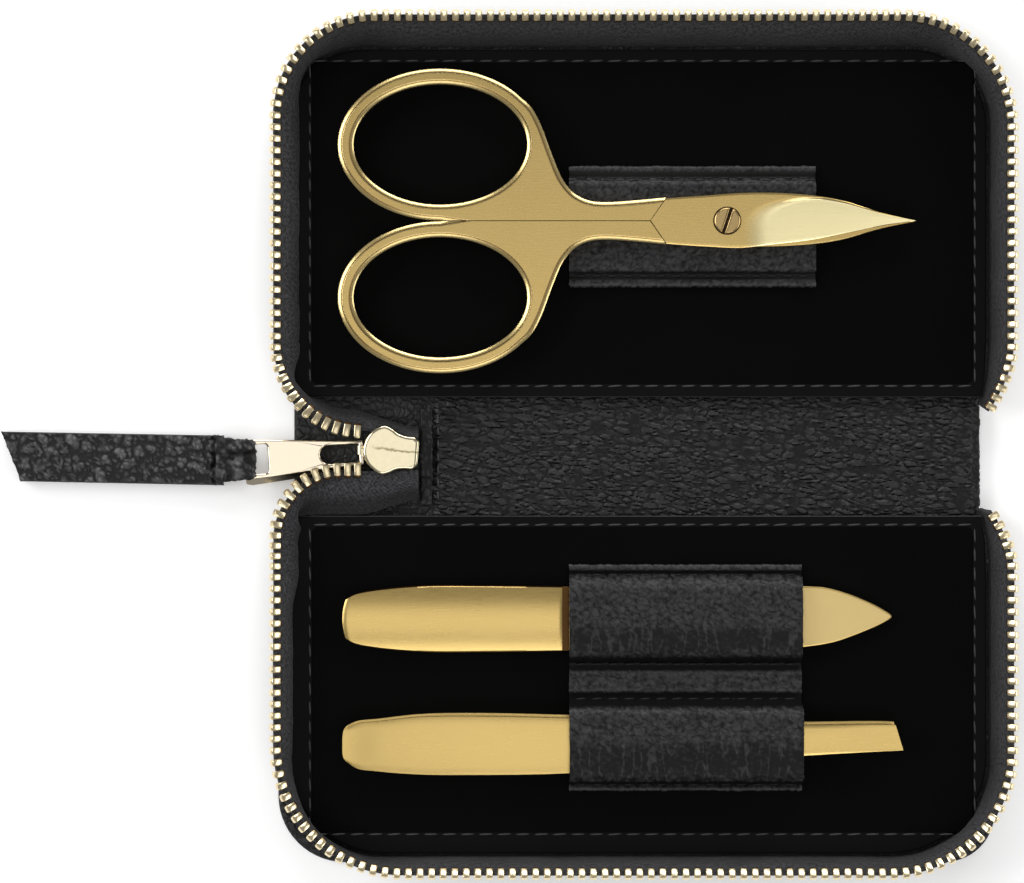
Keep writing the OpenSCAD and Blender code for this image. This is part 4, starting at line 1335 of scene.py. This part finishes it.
def strap_place(u, w):
    i = min(int(round(w * (len(section) - 1))), len(section) - 1)
    y, z = section[i]
    x = STRAP_X + STRAP_L * u
    if i < len(outer_line) and z > 0.5:
        slope = math.exp(-((z - 1.6) / 0.9) ** 2) if z > 0.95 else 0.4
        middle = FILE_Y if y > -35 else TWEEZERS_Y
        way = math.copysign(1.0, y - middle)
        fold = ripple(x * 0.75, y * 0.12, 4.0) + 0.5 * ripple(x * 1.9, y * 0.2, 9.0)
        y += way * 0.16 * slope * fold
        z += 0.07 * slope * fold + 0.1 * ripple(x * 0.11, y * 0.22, 1.0) * soft((z - 1.2) / 1.5)
    return Vector((x, y, FLOOR_Z + z))


# Bands along X as (middle, half width), and the middles of the lips that are painted lighter
# as a painted highlight. The grooves are painted nearly black and the shaded slopes darker,
# as painted shade.
GROOVES = ((-18.1, 0.35), (-32.4, 1.15), (-37.9, 1.0), (-51.0, 0.35), (44.15, 0.5), (28.25, 0.6))
LIP_HIGHLIGHTS = (-17.2, -33.8, -36.6, -52.0, 45.2, 26.9)
SHADED_SLOPES = ((-28.7, 2.1), (-47.4, 3.1))


def bands(y, places, power):
    """How far y lies inside any of the bands, about 0 outside and 1 at a middle."""
    return sum(math.exp(-((y - middle) / half) ** power) for middle, half in places)


def strap_grain(place):
    """Fine crackled grain; the grooves are painted nearly black and the tubes' outer slopes darker as
    painted shade, with light upright lines and paler lips as painted highlights.
    """
    x, y = place.x, place.y
    slope_shade = bands(y, SHADED_SLOPES, 4)
    upright_highlight = soft(1 - abs(ripple(x * 0.7, y * 0.16, 2.0) + 0.2 * ripple(x * 2.0, y, 4.0)) / 0.13)
    wrinkles = soft(abs(ripple(x * 0.55, y * 0.9, 1.0)) / 0.1) * soft(abs(ripple(x, y * 1.5, 5.0)) / 0.12)
    fine = 0.5 + 0.9 * ripple(x * 1.5, y * 2.2, 7.0)
    crackle = hide_grain(x * 0.75 + 0.5 * ripple(x, y, 3.0), y + 0.4 * ripple(x, y, 6.0), 1.0, 1.0, 0.3)
    grain = 0.6 * crackle + 0.3 * fine + 0.35 * wrinkles - 0.1
    # Slopes painted darker as painted shade, with light upright lines as painted highlights.
    grain = grain * (1 - 0.5 * slope_shade) - 0.1 * slope_shade + 0.5 * slope_shade * upright_highlight
    # Paler lips, a painted highlight; below, the grooves go nearly black as painted shade.
    lip_highlight = 0.35 * bands(y, [(middle, 0.25) for middle in LIP_HIGHLIGHTS], 2)
    return (grain + lip_highlight) * (1 - 0.97 * min(bands(y, GROOVES, 4), 1.0))


def strap_piece(names, body, replaced, form, across, seams, length, thread_z):
    """A strap carried along X and its stitches, which begin and end 0.6 mm inside it."""
    mesh = close_ends(loft(STRAP_ROWS, across, form, ring=True))
    mesh = emboss(mesh, strap_grain, STRAP_DEPTH)
    piece(names[0], mesh, body, strap_leather, (replaced,), 80)
    lines = [((STRAP_X + 0.6, y), (STRAP_X + length - 0.6, y)) for y in seams]
    seam = stitches(lines, FLOOR_Z + thread_z, pitch=2.4, length=1.7)
    piece(names[1], seam, body, dark_thread, ())


LOOP_SEAMS = (-18.55, -32.5, -37.95, -51.35)
strap_piece(
    ("loop_strap", "loop_thread"), "lower_half", "tool_loops",
    strap_place, len(section) - 1, LOOP_SEAMS, STRAP_L, 0.6,
)

# %% Upper strap under the scissors
BAND_SECTION = [
    (26.5, 0.02), (26.5, 0.6), (26.65, 0.86), (26.95, 0.92), (27.7, 0.9), (28.05, 0.66), (28.3, 0.6),
    (28.6, 0.72), (29.0, 1.2), (29.6, 1.45), (31.0, 1.5), (34.0, 1.44), (36.0, 1.42), (38.5, 1.45),
    (41.5, 1.5), (42.5, 1.42), (43.1, 1.15), (43.4, 0.7), (43.6, 0.6), (43.9, 0.68), (44.2, 0.9),
    (44.9, 0.92), (45.3, 0.86), (45.5, 0.6), (45.5, 0.02),
]
BAND_SECTION = evenly(BAND_SECTION, SECTION_GAP)
BAND_L = 38.6
BAND_SEAMS = (28.3, 43.6)


def band_place(u, w):
    i = min(int(round(w * len(BAND_SECTION))), len(BAND_SECTION)) % len(BAND_SECTION)
    y, z = BAND_SECTION[i]
    x = STRAP_X + BAND_L * u
    if 0.95 < z:
        z += 0.05 * ripple(x * 0.25, y * 0.3, 2.0) - 0.04
    return Vector((x, y, FLOOR_Z + z))


strap_piece(
    ("scissors_band", "band_thread"), "upper_half", "scissors_strap",
    band_place, len(BAND_SECTION), BAND_SEAMS, BAND_L, 0.62,
)

# %% [markdown]
# ## The scissors
# Each half is one forging: a ring, a shank, a lap round the pivot at half thickness, and a
# blade. Ring and shank are one cut plate whose edges are eased in a few small steps, one of
# them downwards, which leaves the low ridge that such rings have. The inner face of that
# downward step gets the brown gold as painted shade, and the rims are painted paler as a
# painted highlight. The slit between the shanks is ground flat, so there the eased plate
# is cut off along a plane. The lap and the blade are one loft, because the hollow polished
# facet begins at an arc: rows of faces follow this arc, and soft steps keep the facet free
# of creases. The facet too is painted paler, a painted highlight over its real polish.

# %% Ring and shank
PIVOT = (13.85, 36.7)
SCISSORS_Z = 4.7
SCISSORS_T = 2.3
HALF_T = SCISSORS_T / 2
APART = 0.02
RING = (-44.65, 11.9)
HOLE = (13.55, 9.4)
RING_W = 2.4
SLIT = 0.06
BEFORE_LAP = (-9.5, 3.65)
LAP_SLOPE = (3.59, -2.5)


def oval(a, b, n=72, start=0.0, end=math.tau):
    """Points of the finger ring's ellipse, anticlockwise from start to end."""
    steps = n if end - start < math.tau else n - 1
    return [
        (RING[0] + a * math.cos(mix(start, end, i / n)), RING[1] + b * math.sin(mix(start, end, i / n)))
        for i in range(steps + 1)
    ]


SHANK_OUTER = [
    (-32.0, 19.08), (-30.4, 17.55), (-28.9, 14.7), (-27.3, 10.4), (-25.8, 6.8), (-24.2, 4.65),
    (-22.65, 3.6), (-21.1, 3.08), (-19.5, 2.92), (-17.5, 2.95), (-15.3, 3.1), (-12.2, 3.38), (-9.5, 3.65),
]


def handle_outline():
    """The outside of ring and shank, for the half whose ring is on the far side."""
    a, b = HOLE[0] + RING_W, HOLE[1] + RING_W
    shank = flowing([*SHANK_OUTER, (-7.5, 3.85)], 4)
    arc = oval(a, b, 90, math.asin((SHANK_OUTER[0][1] - RING[1]) / b), 3 * QUARTER)
    below_slit = [(x, -1.3) for x in (-36, -28, -20, -7.5)]
    return shank[::-1] + arc[1:] + below_slit


RIM_STEPS = ((0.24, 0.2), (0.3, 0.08), (0.1, -0.07), (0.12, 0.05), (0.05, 0.0))
RIM_POLISH_HIGHLIGHT = 0.3


def handle(side, bottom):
    """Ring and shank; cut at the slit and, aslant, where the lap begins."""
    outline = [(x, side * y) for x, y in handle_outline()]
    hole = [(x, side * y) for x, y in oval(*HOLE)]
    plate = cut_plate(outline, [hole], bottom, bottom + SCISSORS_T, RIM_STEPS, ((0.15, 0.15), (0.2, 0.08)))
    # The inner slope of the downward step gets the brown gold: painted shade, a dark line along the rim.
    for face in plate.faces:
        high = face.calc_center_median().z > bottom + SCISSORS_T - 0.1
        face.material_index = int(high and face.normal.z < 0.92)
    lap_x, lap_y = BEFORE_LAP
    run, rise = LAP_SLOPE
    close_ends(cut_through(plate, (0, SLIT * side, 0), (0, -side, 0), clear_outer=True))
    cut_through(plate, (lap_x, lap_y * side, 0), (run, rise * side, 0), clear_outer=True)
    return close_ends(plate)


# %% Blades
BACK = curve_through([
    (-9.42, 3.58), (-7.2, 3.78), (-3.2, 4.05), (2.2, 4.45), (7.9, 4.45), (14.06, 3.95), (18.46, 3.1),
    (21.1, 2.25), (23.7, 1.4), (26.5, 0.68), (29.3, 0.05),
])
EDGE = curve_through([
    (-9.42, -3.58), (-7.2, -3.75), (-3.2, -4.0), (2.2, -4.2), (5.86, -3.8), (13.5, -2.9), (20.2, -1.6),
    (24.9, -0.6), (29.3, -0.02),
])
LAP_X = -9.42
LAP_LENGTH = 2.44
TIP_X = 29.3
FACET_FROM = 0.42
HOLLOW = 0.22
UNDER_DEPTH = 0.9


def facet_start(t):
    """Where the facet begins, from the cutting edge at t 0 to the back at t 1."""
    return 2.2 + 13 * t**5


def facet_share(x, t):
    return soft((x - facet_start(t)) / 4.2) * soft((0.965 - t) / 0.05)


def blade(back_side, depth, bottom, hollow):
    """A blade with a flat part by the pivot and a hollow facet; hollow 0 leaves it plain."""

    def place(u, w):
        over = w < 0.5 or w > 0.999
        t = 2 * w if w < 0.5 else 2 - 2 * w
        t = soft(t) * 0.4 + t * 0.6
        if u < FACET_FROM:
            start = LAP_X - LAP_LENGTH * (1 - abs(2 * t - 1))
            tongue = 0.0 if over else 0.35 * soft((0.47 - t) / 0.1)
            x = mix(start - tongue, facet_start(t), u / FACET_FROM)
        else:
            x = mix(facet_start(t), TIP_X, (u - FACET_FROM) / (1 - FACET_FROM))
        y = mix(EDGE(max(x, LAP_X)), BACK(max(x, LAP_X)) * depth, t)
        if over:
            z = HALF_T - HOLLOW * hollow * facet_share(x, t) - 0.003 * max(0.0, x - 5)
            z -= 0.06 * (1 - t) ** 2 * soft((x - 3) / 6)
            z -= 0.12 * soft((t - 0.97) / 0.03) + 0.1 * soft((0.03 - t) / 0.03)
        else:
            z = 0.05 * soft((t - 0.97) / 0.03)
        return Vector((x, back_side * y, bottom + z))

    return close_ends(loft(120, 72, place, ring=True))


def store_polish(bm, top, polished_blade):
    """Stores the rims of the handle, and the facet of the over half, as polished: smoother, and painted
    paler as a painted highlight.
    """
    layer = bm.verts.layers.float.new("polish")
    for v in bm.verts:
        x = min(max(v.co.x, LAP_X), TIP_X)
        t = min(max((v.co.y - EDGE(x)) / max(BACK(x) - EDGE(x), 0.01), 0.0), 1.0)
        if v.co.x < LAP_X:
            v[layer] = RIM_POLISH_HIGHLIGHT if top - 0.4 < v.co.z < top - 0.03 else 0.0
        elif polished_blade and v.co.z > top - 1.1:
            v[layer] = facet_share(v.co.x, t)
    return bm


at_pivot = Matrix.Translation((*PIVOT, SCISSORS_Z))
under = merge([handle(1, 0.0), blade(-1, UNDER_DEPTH, 0.0, 0.0)])
over = merge([handle(-1, APART), blade(1, 1.0, APART + HALF_T, 1.0)])
SCISSORS_PARTS = (
    ("scissors_under", under, False, "scissors", "scissors_half_upper"),
    ("scissors_over", over, True, "scissors_swing", "scissors_half_lower"),
)
for name, parts, polished, body, replaced in SCISSORS_PARTS:
    half_mesh = moved(store_polish(parts, SCISSORS_T, polished), at_pivot)
    piece(name, half_mesh, body, [scissors_gold, painted_shade_gold], (replaced,))

# %% [markdown]
# ## The screw
# The screw's head is a low disc with a slot. The slot parts the head into two half moons, so
# it is made as two half discs over a darker disc, and the slot stays open between them. The
# darker disc is painted shade: it stands for the shade in the recess round the head and in
# the slot.

# %% Screw
def half_moon(radius, gap, side):
    """Half a disc, cut off at a distance from its middle line."""
    cut = math.asin(gap / radius)
    angles = [mix(cut, math.pi - cut, i / 20) for i in range(21)]
    return [(radius * math.cos(a), side * radius * math.sin(a)) for a in angles]


SHAFT_R = 1.08
HEAD_R = 2.02
HEAD_H = 0.47
SLOT_HALF = 0.24
SLOT_TURN = 71.6
RECESS_R = 2.2
HEAD_EDGE = ((0.1, 0.12), (0.15, 0.06), (0.05, 0))
head_z = SCISSORS_T + 0.05
screw_parts = [cut_plate(disc(SHAFT_R), (), 0.05, SCISSORS_T, ((0.03, 0.03),))]
for way in (-1, 1):
    moon = half_moon(HEAD_R, SLOT_HALF, way)
    screw_parts.append(cut_plate(moon, (), head_z, head_z + HEAD_H, HEAD_EDGE))
# A dark disc under the head: painted shade in the recess and the slot.
recess_shade = cut_plate(disc(RECESS_R), (), head_z - 0.1, head_z + 0.02, ((0.01, 0.01),))
piece("screw_recess_shade", moved(recess_shade, at_pivot), "scissors", recess_shade_gold, ())
slot_turn = Matrix.Rotation(math.radians(SLOT_TURN), 4, "Z")
screw = moved(merge(screw_parts), at_pivot @ slot_turn)
piece("pivot_screw", screw, "scissors", screw_gold, ("scissors_screw",))

# %% [markdown]
# ## The file
# The handle is a pressed shell with a low crown, lofted from a lens-shaped section; its
# faces towards the far side get the brown gold as painted shade. A narrow collar of the
# brown gold at the handle's end, round the blade, is painted shade too: it stands for the
# handle's end face in shadow. The blade is flat sheet with a bright worn edge, so it is a
# cut plate with small insets, whose sloped faces get the satin gold.

# %% File
FILE_Z = 3.2
HANDLE_L = 34.3
HANDLE_MID = 1.3
CROWN_R = 20
handle_half = curve_through([(0.0, 3.15), (1.2, 3.78), (4, 4.4), (12, 5.2), (23, 5.25), (34.3, 5.1)])


def file_handle_place(u, w):
    a = math.tau * w
    c = math.cos(a)
    s = math.sin(a)
    y_share = math.copysign(abs(c) ** 0.75, c)
    run = HANDLE_L * u
    half = handle_half(run)
    y = half * y_share
    sag = CROWN_R - math.sqrt(CROWN_R**2 - y * y)
    z = math.copysign((HANDLE_MID - sag) * min(1.0, abs(s) * 3.0) ** 0.5, s)
    round_left = 0.55 * y_share**2 * soft(1 - u * 8)
    x = TOOLS_X + run + round_left
    ease = 0.14 * soft(1 - run / 0.7) ** 2 + 0.1 * soft(1 - (HANDLE_L - run) / 0.3)
    return Vector((x, FILE_Y + y, FILE_Z + HANDLE_MID + z * (1 - ease)))


file_grip = close_ends(loft(90, 56, file_handle_place, ring=True))
# Faces towards the far side get the brown gold: painted shade.
for face in file_grip.faces:
    face.material_index = int(face.normal.y > 0.75)
at_file = Matrix.Translation((TOOLS_X, FILE_Y, 0))
# A dark collar where the handle ends: painted shade for its end face.
shade_collar = cut_plate(rounded_box(34.2, 35.4, -5.0, 5.02, 0.05, 1), (), 3.9, 4.78, ((0.03, 0.03),))
for face in shade_collar.faces:
    face.material_index = 1
shade_collar = moved(shade_collar, at_file)
piece("file_grip", merge([file_grip, shade_collar]), "file", [brushed_gold, painted_shade_gold], ("file_handle",))

FILE_RIM = [
    (34.3, -4.9), (50, -4.8), (62, -4.66), (68, -4.57), (71.84, -4.45), (75.56, -3.95), (78.39, -3.2),
    (82.61, -1.56), (85.0, -0.4), (85.85, 0.33), (85.0, 1.1), (82.61, 2.39), (79.24, 3.8), (75.56, 4.82),
    (71.84, 5.05), (68, 5.06), (60, 5.04), (45, 5.01), (34.3, 5.0),
]
SHEET_EDGE = ((0.08, 0.08), (0.12, 0.04), (0.02, 0.0))
file_sheet = cut_plate(flowing(FILE_RIM, 4), (), 3.8, 4.7, SHEET_EDGE, ((0.08, 0.08),))
for face in file_sheet.faces:
    if 0.05 < face.normal.z < 0.985:
        face.material_index = 1
tang = cut_plate(rounded_box(24.4, 34.5, -2.9, 2.9, 0.3, 3), (), 3.85, 4.65, ((0.05, 0.05),))
file_mesh = moved(merge([file_sheet, tang]), at_file)
piece("file_sheet", file_mesh, "file", [etched_gold, satin_gold], ("file_blade",), 12)

# %% [markdown]
# ## The tweezers
# Two sprung arms meet at the left end, bow apart and come together again towards the slanted
# tips. Their plan and their side view are two pairs of smooth curves, and a loft carries a
# rectangle with soft corners between them.

# %% Tweezers
TWEEZERS_Z = 5.0
TWEEZERS_L = 87.4
ARM_SHIFT = 0.3
far_line = curve_through([
    (0, 2.6), (1, 3), (5.5, 3.5), (12, 4.2), (20, 4.35), (35, 4.05), (55, 3.4), (70, 3),
    (86.2, 3.05), (87.4, 3),
])
near_line = curve_through([
    (0, -3), (1, -3.6), (5.5, -4.25), (12, -4.7), (20, -4.75), (35, -4.5), (55, -3.1),
    (70, -1.9), (80, -1.3), (87.4, -0.95),
])
gap_line = curve_through([
    (0, 0.02), (1, 0.02), (6, 0.26), (12, 0.55), (21, 0.9), (35, 0.92), (55, 0.92), (70, 0.9),
    (80, 1.02), (87.4, 1.1),
])
thick_line = curve_through([(0, 0.86), (1, 0.9), (40, 0.9), (70, 0.9), (87.4, 0.63)])


def arm_mesh(way, shift):
    def place(u, w):
        run = TWEEZERS_L * u
        cy, cz = rounded_section(w, 1.0, 1.0, 0.12)
        y = mix(near_line(run), far_line(run), 0.5 + 0.5 * cy)
        tip = -1.2 * (0.5 + 0.5 * cy) * soft((u - 0.9) / 0.1)
        butt = 0.9 * abs(cy) ** 5 * soft(1 - u * 22)
        x = TOOLS_X + run + tip + butt
        outside = 1 if cz > 0 else 0
        crown = 0.12 * (1 - cy * cy) * outside * soft(u * 12) * soft((1 - u) * 6)
        z = gap_line(run) + thick_line(run) * (0.5 + 0.5 * cz) + crown - 0.06 * outside
        return Vector((x, TWEEZERS_Y + shift + y, TWEEZERS_Z + way * z))

    return close_ends(loft(150, 44, place, ring=True))


ARMS = (
    ("tweezers_top", 1, 0.0, "tweezers_arm", "tweezers_upper_arm"),
    ("tweezers_base", -1, ARM_SHIFT, "tweezers", "tweezers_lower_arm"),
)
for name, way, shift, body, replaced in ARMS:
    piece(name, arm_mesh(way, shift), body, brushed_gold, (replaced,))

# %% [markdown]
# ## Light, floor and camera
# The photograph was taken from straight above, on white, in large soft lights, of which the
# far side and the left are the strongest. Black leather shows its grain only in what it
# reflects, so most of the five soft boxes stand low enough to glance off it, and the white
# floor and world give the gold something plain to mirror.

# %% Floor and world
FLOOR_HALF = 1.5
FLOOR_TONES = ((0.92, 0.92, 0.92), (0.95, 0.95, 0.95))
SKY_STRENGTH = 0.28
floor = bmesh.new()
bmesh.ops.create_grid(floor, x_segments=1, y_segments=1, size=FLOOR_HALF)
floor_mesh = bpy.data.meshes.new("table")
floor.to_mesh(floor_mesh)
floor.free()
floor_mesh.transform(Matrix.Translation((0, 0, -0.1 * MM)))
table = bpy.data.objects.new("table", floor_mesh)
bpy.context.scene.collection.objects.link(table)
white = Finish("white_table", Specular_IOR_Level=0.1, Emission_Strength=0.2)
white.set("Emission Color", (1, 1, 1, 1))
white.set("Base Color", white.colours(white.clouds(white.place(), 0.01), *FLOOR_TONES))
white.set("Roughness", 0.9)
floor_mesh.materials.append(white.material)

world = bpy.data.worlds.new("studio")
world.use_nodes = True
sky = world.node_tree.nodes["Background"]
sky.inputs["Color"].default_value = (1, 1, 1, 1)
sky.inputs["Strength"].default_value = SKY_STRENGTH
bpy.context.scene.world = world
print("Floor half", FLOOR_HALF, "m wide, sky strength", SKY_STRENGTH)

# %% Soft boxes
SOFT_BOXES = [
    ("overhead", (0.0, -0.12, 1.25), 0.8, 0.6, 1.5),
    ("near_side", (0.1, -0.8, 1.0), 0.8, 0.5, 2.9),
    ("key_left", (-0.8, 0.2, 0.5), 0.7, 0.5, 5.5),
    ("right_side", (0.9, -0.05, 0.3), 0.8, 0.4, 3.0),
    ("far_side", (0.1, 0.9, 0.4), 1.0, 0.4, 6.2),
]
for name, spot, wide, high, power in SOFT_BOXES:
    lamp = bpy.data.lights.new(name, "AREA")
    lamp.shape = "RECTANGLE"
    lamp.size = wide
    lamp.size_y = high
    lamp.energy = power
    holder = bpy.data.objects.new(name, lamp)
    holder.location = spot
    holder.rotation_euler = (-Vector(spot)).to_track_quat("-Z", "Y").to_euler()
    bpy.context.scene.collection.objects.link(holder)
    print(name, "radiance", round(power / (math.pi * wide * high), 2))

# %% Camera
CAMERA_MM = (-19.64, 2.35, 504)
LENS = 112.3
view = bpy.data.cameras.new("photo_view")
view.lens = LENS
view.sensor_width = 36
view.clip_start = 0.01
camera = bpy.data.objects.new("photo_view", view)
camera.location = [c * MM for c in CAMERA_MM]
bpy.context.scene.collection.objects.link(camera)
bpy.context.scene.camera = camera
bpy.context.scene.view_settings.view_transform = "Standard"
print("Camera stands", camera.location.z, "m above the table")
